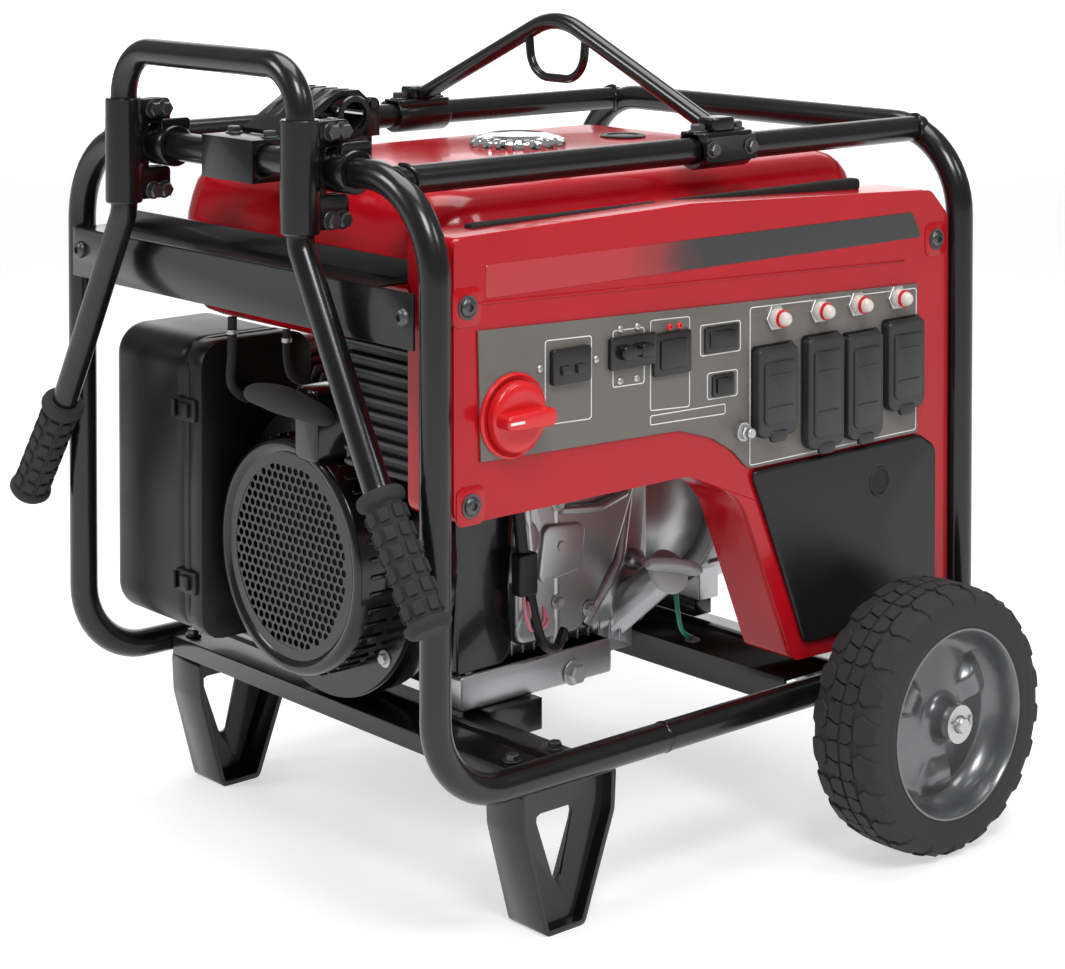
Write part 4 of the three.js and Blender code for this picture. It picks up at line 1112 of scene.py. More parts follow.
@dataclass
class Latch:
    """The saddle that takes the folded handle's bar, and its hood."""

    def build(self) -> None:
        """Dresses both castings and adds the ribs, pin and bolts."""
        keep("latch_base", BLACK_PAINT, 1.5)
        keep("latch_hood", BLACK_PAINT, 1.5)
        low, high = node_box("latch_hood")
        side = np.array([(low[0] + 3, low[2] + 4), (low[0] + 34, low[2] + 27), (high[0] - 40, high[2] + 1),
                         (high[0] - 22, high[2] + 1), (high[0] - 24, high[2] - 6), (low[0] + 8, low[2] + 2)])
        ribs = [slab(side, Axis.Y, y - 1.8, y + 1.8, 1.0) for y in (-26, -9, 9, 26)]
        make("hood_ribs", ribs, BLACK_PAINT, "latch")
        base = node_box("latch_base")
        pin = tube([(high[0] - 7, -46.5, high[2] - 13), (high[0] - 7, 46.5, high[2] - 13)], [], 4, 20)
        collars = [revolved([(s * 44.2, 19), (s * 46, 18), (s * 46, 13.3), (s * 44.2, 13.3)], Axis.Y,
                            (X_FRONT + 93.5, FRAME_TOP + 33.6), 36, True) for s in (-1, 1)]
        make("latch_pin", [pin, *collars], BLACK_PAINT)
        bolts = [hex_bolt(11, 5, UP, (base[0][0] + 28, y, FRAME_TOP + 18), 8) for y in (-28, 28)]
        make("latch_bolts", bolts, DARK_STEEL)


# ---- Tank -----------------------------------------------------------------------------------


@dataclass
class Tank:
    """Fuel tank, filler cap, gauge and vent hoses."""

    def build(self) -> None:
        """Builds the tank's shell, its cap and hoses."""
        low, high = node_box("fuel_tank")
        self.low, self.high = low, high
        top = low[2] + 155
        make("tank_shell", self.shell(top), RED_PAINT, replaces=("fuel_tank",), smooth=50)
        cap_low, cap_high = node_box("fuel_cap")
        centre = tuple(middle("fuel_cap")[:2])
        make("filler_cap", self.cap(centre, cap_low[2], cap_high[2]), CHROME, "fuel_cap", ("fuel_cap",),
             smooth=32)
        seat = revolved([(cap_low[2] - 2, 58), (cap_low[2] + 0.5, 57), (cap_low[2] + 0.5, 51),
                         (cap_low[2] - 0.5, 40), (cap_low[2] - 2, 40)], Axis.Z, centre, 48, True)
        make("filler_seal", seat, HOSE)
        gauge = revolved([(top - 1.5, 24), (top + 1.6, 24), (top + 2.6, 22), (top + 2.6, 17),
                          (top + 1.4, 16)], Axis.Z, (centre[0] + 140, centre[1] - 8), 40)
        make("fuel_gauge", gauge, PLASTIC)
        self.hoses(low)

    def shell(self, top: float) -> Form:
        """The tank: a round-cornered plan in rings that draw in towards the top and bottom.

        Each ring has its height and how far the plan moves in. The seam is a bead between two steps.

        Returns:
            The closed shell.
        """
        low, high = self.low, self.high
        plan = oblong((low[0], high[0]), (low[1], high[1]), 60, 14)
        bottom, seam = low[2], low[2] + 72
        heights = [(bottom, 46), (bottom + 2, 34), (bottom + 8, 20), (bottom + 20, 9), (bottom + 36, 3),
                   (seam - 5, 0.8), (seam - 4, 0), (seam, -1.2), (seam + 4, 0), (seam + 5, 1.2),
                   (seam + 30, 3), (top - 36, 7), (top - 22, 12), (top - 12, 19), (top - 5, 29),
                   (top - 1.2, 42), (top, 54)]
        rings = [laid(offset(plan, inset + 0.01), z, Axis.Z) for z, inset in heights]
        return grid(np.stack(rings))

    def cap(self, centre: tuple, low: float, high: float) -> Form:
        """The cap: its radius plus 2.6 times a clipped cos(18 angle) at its skirt, and domed on top."""
        rings = [(low, 45, 0.2), (low + 1, 46.5, 1), (low + 3, 47, 1), (high - 7, 46.5, 1),
                 (high - 4.5, 44.5, 0.7), (high - 3, 41, 0.15), (high - 2.5, 37, 0), (high - 1, 34, 0),
                 (high, 29, 0), (high, 12, 0), (high, 2, 0)]
        angle = turns(216)
        wave = np.clip(np.cos(18 * angle) * 2.2, -1, 1) * 2.6
        data = np.array(rings)
        radius = data[:, 1:2] + data[:, 2:3] * wave[None]
        flat = polar(radius, angle) + np.array(centre)
        return grid(laid(flat, data[:, :1], Axis.Z))

    def hoses(self, low: Array) -> None:
        """Vent and fuel hoses in front of the engine, with their clips."""
        x, top = low[0] + 8, low[2] + 9
        back = curved_tube([(x, 100, top), (x, 101, top - 34), (x, 103, top - 62), (x + 12, 108, top - 76),
                            (x + 26, 112, top - 84)], 4.5)
        make("tank_vent", back, HOSE, replaces=("vent_hose_tank",))
        centre = curved_tube([(x, 12, top), (x, 12, top - 26), (x + 8, 14, top - 46),
                              (x + 34, 20, top - 58)], 3.5)
        make("carburettor_vent", centre, HOSE, replaces=("vent_hose_carburettor",))
        clips = [revolved([(z, r + 0.3), (z, r + 1.3), (z + 4, r + 1.3), (z + 4, r + 0.3)], Axis.Z, (x, y),
                          20, True) for y, r, z in ((100.4, 4.5, top - 16), (12, 3.5, top - 12))]
        make("hose_clips", clips, STEEL)


# ---- Engine ---------------------------------------------------------------------------------


@dataclass
class Engine:
    """Crankcase, head, starter, air cleaner, alternator and what is fixed to them."""

    case_y: float = -108.0
    boss_places: tuple = ((-60, CRANK_Z + 34), (-60, CRANK_Z - 6), (-60, CRANK_Z - 60), (-140, CRANK_Z + 44),
                          (20, CRANK_Z + 50), (-20, CRANK_Z - 74), (48, CRANK_Z - 40), (-104, CRANK_Z - 20))

    def build(self) -> None:
        """Dresses the castings and builds the covers and small pieces."""
        for node, finish in (("crankcase", ALLOY), ("cylinder_head", ALLOY), ("flywheel", ALLOY),
                             ("alternator_housing", ALLOY), ("crankshaft_rotor", STEEL),
                             ("air_cleaner_base", PLASTIC)):
            keep(node, finish, 1.5)
        for node in ("engine_mount_panel_side", "engine_mount_back_side", "engine_mount_rear"):
            keep(node, BLACK_PAINT, 1.5)
        self.case_details()
        self.filler()
        self.starter()
        self.air_cleaner()
        self.alternator()
        self.wiring()

    def case_details(self) -> None:
        """Ribs, joint flange, bosses and bolts on the crankcase's panel side."""
        y = self.case_y
        plates = [([(-112, 200, 12), (-30, 200, 20), (16, 262, 30), (44, 330, 20), (44, 386, 6),
                    (-112, 386, 6)], -118, 5),
                  ([(-88, 256, 8), (-34, 262, 8), (-26, 306, 10), (-80, 312, 10)], -123, 2.5),
                  ([(-40, 330, 14), (30, 336, 14), (36, 380, 10), (-48, 382, 10)], -124, 4)]
        ribs = [slab(rounded(corners, 5), Axis.Y, front, y + 3, edge, 4, both=False)
                for corners, front, edge in plates]
        ribs += [tube([(-24, y - 8, 206), (24, y - 6, 258), (50, -100, 330)], [30], 6, 14, 6),
                 tube([(-108, y - 5, 216), (-92, y - 12, 250), (-100, y - 10, 330), (-84, y - 8, 384)],
                      [30, 30], 5, 12, 6),
                 tube([(-56, y - 10, 322), (-10, y - 14, 318), (28, y - 10, 326)], [24], 5, 12, 6)]
        flange = [tube([(-60, y - 3, CRANK_Z - 100), (-60, y - 3, CRANK_Z + 36), (-60, -84, CRANK_Z + 80)],
                       [12], 8, 16, 6)]
        bosses = [spun([(0, 11), (10, 10), (12, 8)], TO_PANEL, (x, y + 2, z), 28)
                  for x, z in self.boss_places]
        cover = spun([(0, 42), (8, 41), (11, 36), (12, 20), (16, 18), (17, 15)], TO_PANEL,
                     (-104, y + 2, CRANK_Z + 6), 48)
        pads = [block((-188, 2), (-128, -97), (FRAME_LOW + 9, FRAME_LOW + 42), 4, 2.5)]
        fins = [block((x - 1.5, x + 1.5), (-108, -70), (CRANK_Z - 118, CRANK_Z - 92), 1, 0.8)
                for x in range(-150, 40, 14)]
        make("case_ribs", ribs + flange + bosses + [cover] + pads + fins, ALLOY, smooth=40)
        guard = slab(rounded([(-190, 186, 10), (-118, 186, 26), (-124, 262, 12), (-112, 386, 14),
                              (-190, 386, 10)], 5), Axis.Y, y - 15, y - 2, 3, 3)
        make("fan_duct", guard, HOUSING)
        bolts = [hex_bolt(9, 5, TO_PANEL, (x, y - 10, z), 7.5) for x, z in self.boss_places[:-1]]
        bolts.append(hex_bolt(17, 9, TO_PANEL, (-50, -129, FRAME_LOW + 19), 12))
        bolts.append(hex_bolt(15, 9, UP, (-174, -112, FRAME_LOW + 42), 12))
        stud = spun([(0, 4), (14, 4), (15, 3)], UP, (-174, -112, FRAME_LOW + 50), 16)
        make("case_bolts", [*bolts, stud], STEEL, smooth=30)

    def filler(self) -> None:
        """The winged oil cap on its neck."""
        axis = (0.0, -0.8, 0.6)
        start = np.array([40.0, -95.0, CRANK_Z - 93]) + np.array(axis) * 84.3
        skirt = revolved([(0, 21), (1.5, 22), (7, 22), (9, 20), (11, 14)], Axis.Z, (0, 0), 40)
        t = np.linspace(-1, 1, 21)
        crest = np.stack([t * 31, 26 - 7 * np.abs(t) ** 2.5], -1)
        foot = np.array([(31, 10.0), (20, 8.5), (-20, 8.5), (-31, 10.0)])
        outline = np.concatenate([crest, foot])
        wing = slab(outline, Axis.Y, -4.5, 4.5, 2.2, 3)
        form = total([skirt, wing]).turned((0, 0, 1), -18).aimed(axis, tuple(start))
        make("oil_cap", form, GREY_CAP, "oil_cap", ("oil_filler_cap",), smooth=40)

    def starter(self) -> None:
        """The fan housing, the cover with its honeycomb screen, a dark disc of painted shade behind it, side
        louvres, and the pull grip.
        """
        face = node_box("recoil_cover")[0][0] + 8
        seat = node_box("fan_housing")[0][0]
        back = node_box("fan_housing")[1][0]
        shell = [(seat, 134), (seat, 138), (back - 20, 138), (back - 6, 133), (back, 120), (back, 27),
                 (back - 4, 27), (back - 4, 116), (back - 22, 134)]
        make("fan_shell", revolved(shell, Axis.X, (0, CRANK_Z), 96, True), HOUSING, replaces=("fan_housing",))
        cover = [(face + 2, 96), (face - 1, 100), (face - 1.5, 104), (face, 107.5), (face + 4, 110),
                 (face + 42, 110), (seat - 3.3, 112), (seat - 3.3, 136), (seat - 0.3, 136),
                 (seat - 0.3, 108), (face + 8, 104), (face + 5, 96)]
        make("starter_ring", revolved(cover, Axis.X, (0, CRANK_Z), 96, True), HOUSING,
             replaces=("recoil_cover",))
        make("starter_screen", self.honeycomb(face + 2.5), HOUSING, thick=1.6, smooth=20)
        # Painted shade: a flat dark disc behind the screen stands in for the shaded inside of the housing.
        shade_disc = revolved([(face + 22, 100), (face + 24, 100)], Axis.X, (0, CRANK_Z), 64)
        make("starter_screen_shade", shade_disc, DARK)
        louvres, count, bolt_circle = [], 44, 124
        for i in range(count):
            slot = block((face + 12, face + 38), (-2.2, 2.2), (109.2, 112.2), 1.5, 1.0, Axis.Z)
            louvres.append(slot.turned((1, 0, 0), i * 360 / count).moved(z=CRANK_Z))
        make("starter_louvres", louvres, HOUSING)
        bolts = []
        for a in np.radians([35, 145, 222, 318]):
            place = (seat - 3, bolt_circle * math.cos(a), CRANK_Z + bolt_circle * math.sin(a))
            bolts.append(hex_bolt(9, 4, TO_FRONT, place, 8))
        make("starter_bolts", bolts, STEEL, smooth=30)
        y, z = -38.0, CRANK_Z + 152
        guide = [block((face - 8, face + 30), (y - 18, y + 18), (CRANK_Z + 96, CRANK_Z + 164), 8, 4, Axis.X),
                 spun([(0, 13), (3, 12), (4, 8), (2, 6)], TO_FRONT, (face - 7, y, z), 32)]
        make("rope_guide", guide, HOUSING)
        self.grip(face, y, z)

    def honeycomb(self, x: float) -> Form:
        """Hexagonal cells, each a ring between its own hexagon and a smaller one, inside a round border."""
        pitch, hole = 9.2, 3.7
        cell = pitch / math.sqrt(3)
        angle = np.radians(np.arange(6) * 60 + 30)
        hexagon = polar(1.0, angle)
        cells = []
        for row in range(-13, 14):
            for column in range(-12, 13):
                centre = np.array([(column + (row % 2) / 2) * pitch, row * pitch * math.sqrt(3) / 2])
                if np.linalg.norm(centre) > 92:
                    continue
                outer, inner = centre + hexagon * cell, centre + hexagon * hole
                if np.linalg.norm(centre) > 87:
                    inner = centre + hexagon * 0.4
                rings = np.stack([laid(outer, x, Axis.X), laid(inner, x, Axis.X)])
                cells.append(grid(rings + np.array([0, 0, CRANK_Z]), cap=False))
        border = grid(np.stack([laid(circle(r, 96) + np.array([0, CRANK_Z]), x, Axis.X) for r in (86, 100)]),
                      cap=False)
        return total([*cells, border.moved(x=-0.4)])

    def grip(self, face: float, y: float, z: float) -> None:
        """The starter's T-grip: an oval section that thins to its ends, with its rope."""
        t = np.linspace(-1, 1, 33)
        places = np.stack([face - 24 - 9 * (1 - t**2), y + 64 * t, z + 4 - 7 * t**2 + 3 * t], -1)
        headings = unit(np.gradient(places, axis=0))
        size = np.sqrt(np.clip(1 - np.abs(t) ** 6, 0.02, 1)) * (12.5 + 3 * np.exp(-(t * 2.5) ** 2))
        profile = circle(1.0, 28)[None] * size[:, None, None] * np.array([1.0, 0.82])
        rope = tube([(face - 24, y, z), (face - 8.5, y, z)], [], 3, 14)
        ferrule = spun([(0, 7), (8, 8.5), (12, 8.5), (13, 6)], TO_REAR, (face - 24, y, z))
        form = total([carried(profile, places, headings), rope, ferrule])
        make("pull_grip", form, RUBBER, "starter_grip", ("recoil_grip",), smooth=50)

    def air_cleaner(self) -> None:
        """The cover with rounded edges, a raised bead round it, and two clips."""
        low, high = node_box("air_cleaner_cover")
        plan = oblong((low[0], high[0]), (low[2], high[2]), 30, 10)
        cover = slab(offset(plan, 0.01), Axis.Y, low[1] + 0.3, high[1], 17, 7)
        make("air_cover", cover, PLASTIC, replaces=("air_cleaner_cover",), smooth=50)
        lip = slab(offset(plan, -0.8), Axis.Y, low[1] - 4, low[1] + 5, 1.5, 2)
        make("air_cover_lip", lip, PLASTIC)
        clips = []
        for z in (low[2] + 55, high[2] - 66):
            x = low[0]
            clips.append(block((x - 4, x + 3), (low[1] - 18, low[1] + 16), (z - 11, z + 11), 3, 1.2, Axis.X))
            clips.append(block((x - 8, x - 2), (low[1] - 10, low[1] + 3), (z - 7, z + 7), 2, 1.2, Axis.X))
            clips.append(tube([(x - 6, low[1] + 14, z - 8), (x - 6, low[1] + 14, z + 8)], [], 2.2, 12))
        make("air_clips", clips, PLASTIC)

    def alternator(self) -> None:
        """The end cover with its vent slots painted on as dark shade, the housing's fins and long bolts, and
        the silencer.
        """
        keep("alternator_end_cover", ALLOY, 1.2)
        keep("muffler", STEEL, 2.0)
        start, end = node_box("alternator_housing")[0][0], node_box("alternator_housing")[1][0]
        fins, count, bolt_circle = [], 28, 100
        for i in range(count):
            fin = block((start + 8, end - 6), (-1.6, 1.6), (111, 115), 1, 0.8, Axis.Z)
            angle = i * 360 / count
            if 130 < angle < 230:
                continue
            fins.append(fin.turned((1, 0, 0), angle).moved(z=CRANK_Z))
        make("housing_fins", fins, ALLOY)
        face = node_box("alternator_end_cover")[1][0]
        # Painted shade: the vent slots are flat dark patches on the cover, standing in for the shaded
        # openings.
        slot = block((face - 0.5, face + 0.8), (-4, 4), (38, 78), 3, 0.5, Axis.X)
        slots = [slot.turned((1, 0, 0), i * 30).moved(z=CRANK_Z) for i in range(12)]
        make("end_slot_shade", slots, DARK)
        bolts = []
        for a in np.radians([45, 135, 225, 315]):
            place = (face - 6, bolt_circle * math.cos(a), CRANK_Z + bolt_circle * math.sin(a))
            bolts.append(hex_bolt(9, 5, TO_REAR, place, 7))
        make("end_bolts", bolts, STEEL, smooth=30)
        low, high = node_box("muffler")
        bands = [block((low[0] - 1, high[0] - 18), (low[1] - 1.5, high[1] + 1.5), (z - 3, z + 3), 22, 1.2,
                       Axis.Z) for z in (low[2] + 40, high[2] - 40)]
        make("silencer_bands", bands, STEEL)

    def wiring(self) -> None:
        """Leads, sleeves and the plug on the crankcase's panel side, and the earth lead."""
        y = -122.0
        pink = [curved_tube([(-118 + d, y - 14, 262), (-120 + d, y - 18, 240), (-112 + d * 1.4, y - 19, 222),
                             (-96 + d, y - 16, 226), (-90, y - 10, 238)], 1.7, 40, 8) for d in (0, 6)]
        make("sender_leads", pink, PINK_WIRE)
        sleeve = [curved_tube([(-124, y - 6, 385), (-122, y - 9, 345), (-120, y - 12, 310),
                               (-118, y - 14, 282)], 6, 30, 12),
                  block((-129, -107), (y - 22, y - 8), (256, 296), 3, 2),
                  curved_tube([(-112, y - 14, 262), (-104, y - 22, 214), (-84, y - 20, 200),
                               (-66, y - 12, 212)], 5, 30, 12)]
        make("lead_sleeves", sleeve, PLASTIC)
        earth = curved_tube([(96, -120, 236), (84, -132, 222), (84, -136, 196), (96, -130, 178),
                             (118, -120, 166)], 2.3, 40, 10)
        make("earth_lead", earth, GREEN_WIRE)
        eye = spun([(0, 8), (1.6, 8)], UP, (120, -119, FRAME_LOW + 14))
        make("earth_eye", eye, STEEL)


# ---- Control panel --------------------------------------------------------------------------


@dataclass
class Panel:
    """Shroud, plate, lower cover and every control on them.

    Sockets are (middle, top, width, height). Frames are (left, right, left foot, right foot, right top,
    left top, corner), and fittings (left, right, foot, top, back, front, corner, edge).
    """

    sockets: tuple = ((66, 486, 54, 83), (132, 488, 50, 106), (188, 484, 50, 101), (248, 490, 53, 87))
    protectors: tuple = (69, 129, 183, 241)
    protector_z: float = 513.0
    screw_places: tuple = ((-304, 564), (-300, 395), (303, 564))
    switch_place: tuple = (-255.0, 466.0)
    frames: tuple = ((-218, -163, 452, 450, 524, 526, 3), (-138, -99, 474, 473, 524, 525, 3),
                     (-92, -42, 447, 444, 527, 529, 3), (-29, 24, 488, 487, 516, 517, 3),
                     (-20, 20, 447, 446, 471, 472, 3), (-92, 4, 434, 431, 441, 443, 2),
                     (36, 272, 378, 378, 519, 526, 3))
    fittings: tuple = ((-213, -168, 486, 517, 0.1, 6, 3, 1.2), (-90, -43, 477, 516, 0.1, 4, 3, 1.2),
                       (-83, -50, 483, 510, -3, 6, 2, 1.0), (-144, -88, 490, 519, 0.1, 5, 3, 1.2),
                       (-24, 20, 490, 514, 0.1, 2.5, 2, 1.0), (-14, 14, 449, 469, 0.1, 2.5, 2, 1.0))

    def build(self) -> None:
        """Builds the shroud, then the plate with its switches and sockets."""
        self.shroud()
        self.plate()
        self.lower()
        self.louvres()
        self.switches()
        self.covers()
        self.protection()

    def outline(self) -> Array:
        """The shroud's front outline with its arch over the engine."""
        low, high = node_box("panel_shroud")
        x0, x1, top, foot = low[0], high[0], high[2], low[2]
        return rounded([(x0, top - 5, 10), (x0, 380, 14), (-40, 380, 60), (28, 350, 60), (98, foot + 8, 12),
                        (x1, foot, 55), (x1, top - 40, 18), (x1 - 26, top - 14, 14), (-28, top)], 8)

    def shroud(self) -> None:
        """The pressed skin: a rolled edge, a flat face, a raised band ledge, and flanges that go back."""
        outline = self.outline()
        back = node_box("panel_shroud")[1][1]
        y, edge = PANEL_Y, 9.0
        rings = []
        for t in np.linspace(0, math.pi / 2, 7):
            rings.append(laid(offset(outline, edge * (1 - math.sin(t)) + 0.01), y + edge * (1 - math.cos(t)),
                              Axis.Y))
        rings.append(laid(offset(outline, 0.2), back, Axis.Y))
        rings.append(laid(offset(outline, 3), back, Axis.Y))
        rings.append(laid(offset(outline, 3.2), y + 12, Axis.Y))
        skin = total([grid(np.stack(rings), cap=False), self.face_with_windows(outline, y)])
        make("shroud_skin", skin, RED_PAINT, replaces=("panel_shroud",), smooth=40)
        left, right = outline[:, 0].min(), outline[:, 0].max()
        fold = np.array([(left + 12, 568.2), (right - 66, 548.0), (right - 66, 546.0), (left + 12, 565.2)])
        ridge = slab(fold, Axis.Y, y - 1.5, y + 1, 1.1, 3, both=False)
        band = slab(rounded([(-283, 598, 3), (-283, 569, 3), (282, 568, 3), (268, 594, 5)], 3), Axis.Y,
                    y - 0.5, y + 1, 0.3, 1)
        make("shroud_ridge", ridge, RED_PAINT)
        make("name_band", band, BandFinish())
        bosses = [slab(oblong((x - 16, x + 16), (z - 17, z + 17), 8, 6), Axis.Y, y - 1.2, y + 2, 1.2, 2)
                  for x, z in self.screw_places]
        make("screw_bosses", bosses, RED_PAINT)
        screws = [button_screw(8.5, 4.5, TO_PANEL, (x, y - 1.2, z)) for x, z in self.screw_places]
        washers = [spun([(0, 10.5), (1.2, 10.5), (1.2, 8)], TO_PANEL, (x, y - 1, z), 32)
                   for x, z in self.screw_places]
        make("shroud_screws", [*screws, *washers], DARK_STEEL)
        stripe = block((-268, 232), (-240, -228), (615, 627), 4, 2)
        make("tank_stripe", stripe, DARK)

    @staticmethod
    def face_with_windows(outline: Array, y: float) -> Form:
        """The skin's flat face, with windows behind the keys, the breaker and the rockers.

        Args:
            outline: The face's edge, as (x, z).
            y: Where the face lies.

        Returns:
            Triangles between the edge and the windows.
        """
        windows = [(-206, -174, 491, 505), (-138, -94, 496, 514), (-22, 19, 491, 513), (-13, 13, 450, 468)]
        loops = [[(*point, 0.0) for point in outline]]
        loops += [[(x0, z0, 0.0), (x1, z0, 0.0), (x1, z1, 0.0), (x0, z1, 0.0)] for x0, x1, z0, z1 in windows]
        flat = np.array([point for loop in loops for point in loop])
        triangles = tessellate_polygon([[Vector(point) for point in loop] for loop in loops])
        points = np.stack([flat[:, 0], np.full(len(flat), float(y)), flat[:, 1]], -1)
        first, second, third = (flat[list(column), :2] for column in zip(*triangles))
        side = np.cross(second - first, third - first)
        return Form(points, [tuple(t) if turn > 0 else tuple(t)[::-1] for t, turn in zip(triangles, side)])

    def plate(self) -> None:
        """The control plate's printed lines, and the fixed fittings on it."""
        keep("control_plate", PLATE, 0.4)
        y = FACE_Y
        lines = []
        for left, right, foot_left, foot_right, top_right, top_left, round_ in self.frames:
            corners = [(left, foot_left, round_), (right, foot_right, round_), (right, top_right, round_),
                       (left, top_left, round_)]
            lines.append(stroke(rounded(corners, 3), 0.9, y))
        make("plate_lines", lines, PRINT)
        fittings = []
        for left, right, foot, top, back, front, round_, edge in self.fittings:
            fittings.append(block((left, right), (y - front, y + back), (foot, top), round_, edge))
        make("plate_fittings", fittings, SWITCH)
        dish = [(y + 0.1, 37), (y - 2, 37), (y - 3.5, 35), (y - 1.5, 32)]
        make("switch_dish", revolved(dish, Axis.Y, self.switch_place, 56), KNOB)
        screws = [button_screw(3.6, 2.2, TO_PANEL, (x, y, z)) for x, z in
                  ((-224, 502), (-158, 502), (-129, 525), (-108, 525), (-129, 479), (-109, 479))]
        stud = [spun([(0, 8), (3, 8), (3, 5), (14, 5), (15, 4)], TO_PANEL, (25, y, 412)),
                hex_bolt(12, 5, TO_PANEL, (25, y - 3, 412), 9), hex_bolt(9, 4, TO_PANEL, (25, y - 9, 412))]
        make("plate_screws", [*screws, *stud], STEEL, smooth=30)
        pilot = [button_screw(3.2, 2.4, TO_PANEL, (x, y - 4, z)) for x, z in ((-72, 521), (-60, 521))]
        make("pilot_lamps", pilot, KNOB)

    def lower(self) -> None:
        """The lower cover, crowned a little, with its round plug recess and painted shade in its hole."""
        low, high = node_box("lower_cover")
        outline = rounded([(36, 373, 6), (54, 333, 30), (96, 232, 30), (110, 197, 12), (300, 197, 14),
                           (300, 358, 16), (276, 373, 12)], 6)
        make("lower_skin", slab(outline, Axis.Y, low[1], high[1], 3.2, 5), PLASTIC,
             replaces=("lower_cover",), smooth=50)
        recess = (215, 336)
        edge = [(low[1] + 0.1, 15), (low[1] - 0.8, 14), (low[1] - 0.8, 12.5), (low[1] + 0.1, 12)]
        # Painted shade: a flat dark disc in the recess stands in for the shaded hole.
        hole = revolved([(low[1] - 0.05, 12.3), (low[1] - 0.3, 12.0)], Axis.Y, recess, 40)
        make("recess_rim", revolved(edge, Axis.Y, recess, 40, True), PLASTIC)
        make("recess_hole_shade", hole, DARK)

    def louvres(self) -> None:
        """The louvred end of the control box."""
        keep("control_box", PLASTIC, 1.2)
        low = node_box("control_box")[0]
        blades = []
        for z in np.arange(404, 526, 12):
            blade = block((low[0] - 5, low[0] + 1), (-203, -107), (z, z + 5), 2, 1.2, Axis.X)
            blades.append(blade.turned((0, 1, 0), -14, (low[0], -150, z)))
        make("box_louvres", blades, PLASTIC)

    def switches(self) -> None:
        """Engine switch, breaker, test keys and rockers."""
        y = FACE_Y
        x, z = self.switch_place
        t = np.linspace(0, math.pi / 2, 6)
        crown = [(y - 9 - 4 * math.sin(a), 22 + 8.5 * math.cos(a)) for a in t]
        dome = [(y - 4, 31), (y - 9, 30.5), *crown, (y - 12, 12)]
        disc = revolved(dome, Axis.Y, (x, z), 64)
        ridge_outline = rounded([(x - 28, z - 6, 5), (x + 28, z - 8.5, 7), (x + 28, z + 8.5, 7),
                                 (x - 28, z + 6, 5)], 6)
        ridge = slab(ridge_outline, Axis.Y, y - 28, y - 10, 3.0, 4, both=False)
        make("switch_knob", [disc, ridge], KNOB, "engine_switch", ("engine_switch",), smooth=40)
        mark = block((x - 26, x - 10), (y - 28.4, y - 28), (z - 1.2, z + 1.2), 0.5, 0.1)
        make("switch_mark", mark, PRINT, "engine_switch")
        lever = total([block((bx - 8, bx + 8), (y - 13, y + 2), (499, 511), 3, 1.5) for bx in (-127, -105)]
                      + [block((-136, -96), (y - 12, y - 9), (502, 508), 2, 1)])
        make("breaker_toggle", lever, SWITCH, "breaker", ("breaker_lever",))
        for body, node, name, bx in (("gfci_reset", "gfci_reset_button", "reset_key", -199),
                                     ("gfci_test", "gfci_test_button", "test_key", -181)):
            make(name, block((bx - 5.5, bx + 5.5), (y - 9, y + 1), (494, 502), 1.5, 1.0), COVER, body,
                 (node,))
        for body, node, name in (("voltage_selector", "voltage_selector", "selector_rocker"),
                                 ("throttle", "throttle_rocker", "throttle_key")):
            low, high = node_box(node)
            cx, _, cz = middle(node)
            half = (high[0] - low[0]) / 2 - 0.5
            hz = (high[2] - low[2]) / 2
            form = block((cx - half, cx + half), (y - 6, y), (cz - hz, cz + hz), 1.5, 1.0)
            make(name, form.turned((0, 0, 1), -7, (cx, y + 0.5, cz)), SWITCH, body, (node,))

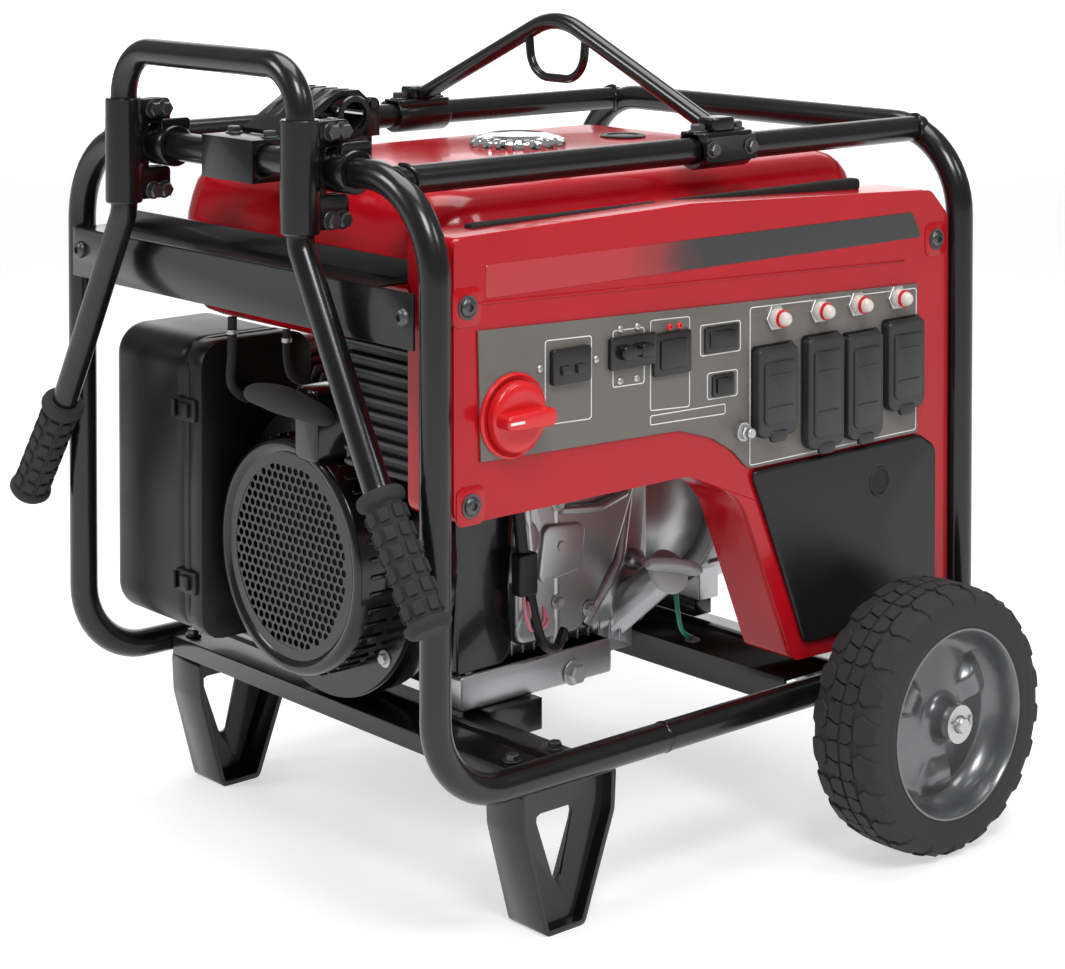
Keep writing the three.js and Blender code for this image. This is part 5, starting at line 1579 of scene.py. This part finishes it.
    def covers(self) -> None:
        """Flip covers of the sockets: a framed lid with a crossed recess, a hinge barrel and a finger tab."""
        y0, y1 = FACE_Y - 12, FACE_Y - 1
        for i, (x, top, width, height) in enumerate(self.sockets, 1):
            w, foot = width / 2, top - height
            lid = slab(self.lid_outline(x, w, top, foot, (5, 10), 5), Axis.Y, y0 + 2, y1, 2.5, 3, both=False)
            pad = slab(self.lid_outline(x, w - 6, top - 12, foot + 12, (4, 6)), Axis.Y, y0, y0 + 3, 1.4, 2,
                       both=False)
            barrel = tube([(x - w + 3, y1 - 2.5, top - 2), (x + w - 3, y1 - 2.5, top - 2)], [], 3.6, 16)
            tab = block((x - 11, x + 11), (y0 + 1, y0 + 6), (foot - 5, foot + 6), 4, 1.5)
            rib_w, mid = w - 11, top - height / 2
            ribs = [block((x - rib_w, x + rib_w), (y0 - 0.8, y0 + 1), (mid + d - 1, mid + d + 1), 0.8, 0.5)
                    for d in (-height * 0.16, height * 0.2)]
            make(f"socket_lid_{i}", [lid, pad, barrel, tab, *ribs], COVER, f"socket_flap_{i}",
                 (f"receptacle_cover_{i}",), smooth=40)
            seat = slab(self.lid_outline(x, w + 2, top + 3, foot + 4, (4, 8)), Axis.Y, FACE_Y - 0.8,
                        FACE_Y + 0.1, 0.5, 1)
            make(f"socket_seat_{i}", seat, SWITCH)

    @staticmethod
    def lid_outline(x: float, half: float, top: float, foot: float, rounds: tuple, steps: int = 4) -> Array:
        """A lid's outline, with one radius for its top corners and one for its foot corners."""
        above, below = rounds
        return rounded([(x - half, top, above), (x + half, top, above), (x + half, foot, below),
                        (x - half, foot, below)], steps)

    def protection(self) -> None:
        """Push-to-reset buttons under clear boots, each with a nut and a red ring."""
        y = FACE_Y
        for i, x in enumerate(self.protectors, 1):
            z = self.protector_z
            boot = [(y - 3, 9), (y - 5, 9.2), (y - 7, 8.8), (y - 9, 7.4), (y - 15, 6.6), (y - 18, 5.4),
                    (y - 19.7, 3.2), (y - 20, 1)]
            make(f"reset_boot_{i}", revolved(boot, Axis.Y, (x, z), 40), BOOT, f"protector_{i}",
                 (f"protector_button_{i}",), smooth=60)
            nut = revolved([(y + 0.1, 13), (y - 2.6, 13), (y - 3.2, 12.4), (y - 3.2, 9.6), (y + 0.1, 9.6)],
                           Axis.Y, (x, z), 6, True)
            make(f"reset_nut_{i}", nut, STEEL, smooth=30)
            band = revolved([(y - 10.2, 7.5), (y - 10.2, 8.4), (y - 13, 8.2), (y - 13, 7.0)], Axis.Y, (x, z),
                            32, True)
            make(f"reset_ring_{i}", band, KNOB, f"protector_{i}")


# ---- Build ----------------------------------------------------------------------------------


def main() -> None:
    """Builds the studio and every sub-assembly in order."""
    Studio().build()
    TubeFrame().build()
    for side, sign in SIDES:
        Wheel(side, sign).build()
    Handle().build()
    Latch().build()
    Tank().build()
    Engine().build()
    Panel().build()


if __name__ == "__main__":
    logging.basicConfig(level=logging.INFO, format="%(message)s")
    main()
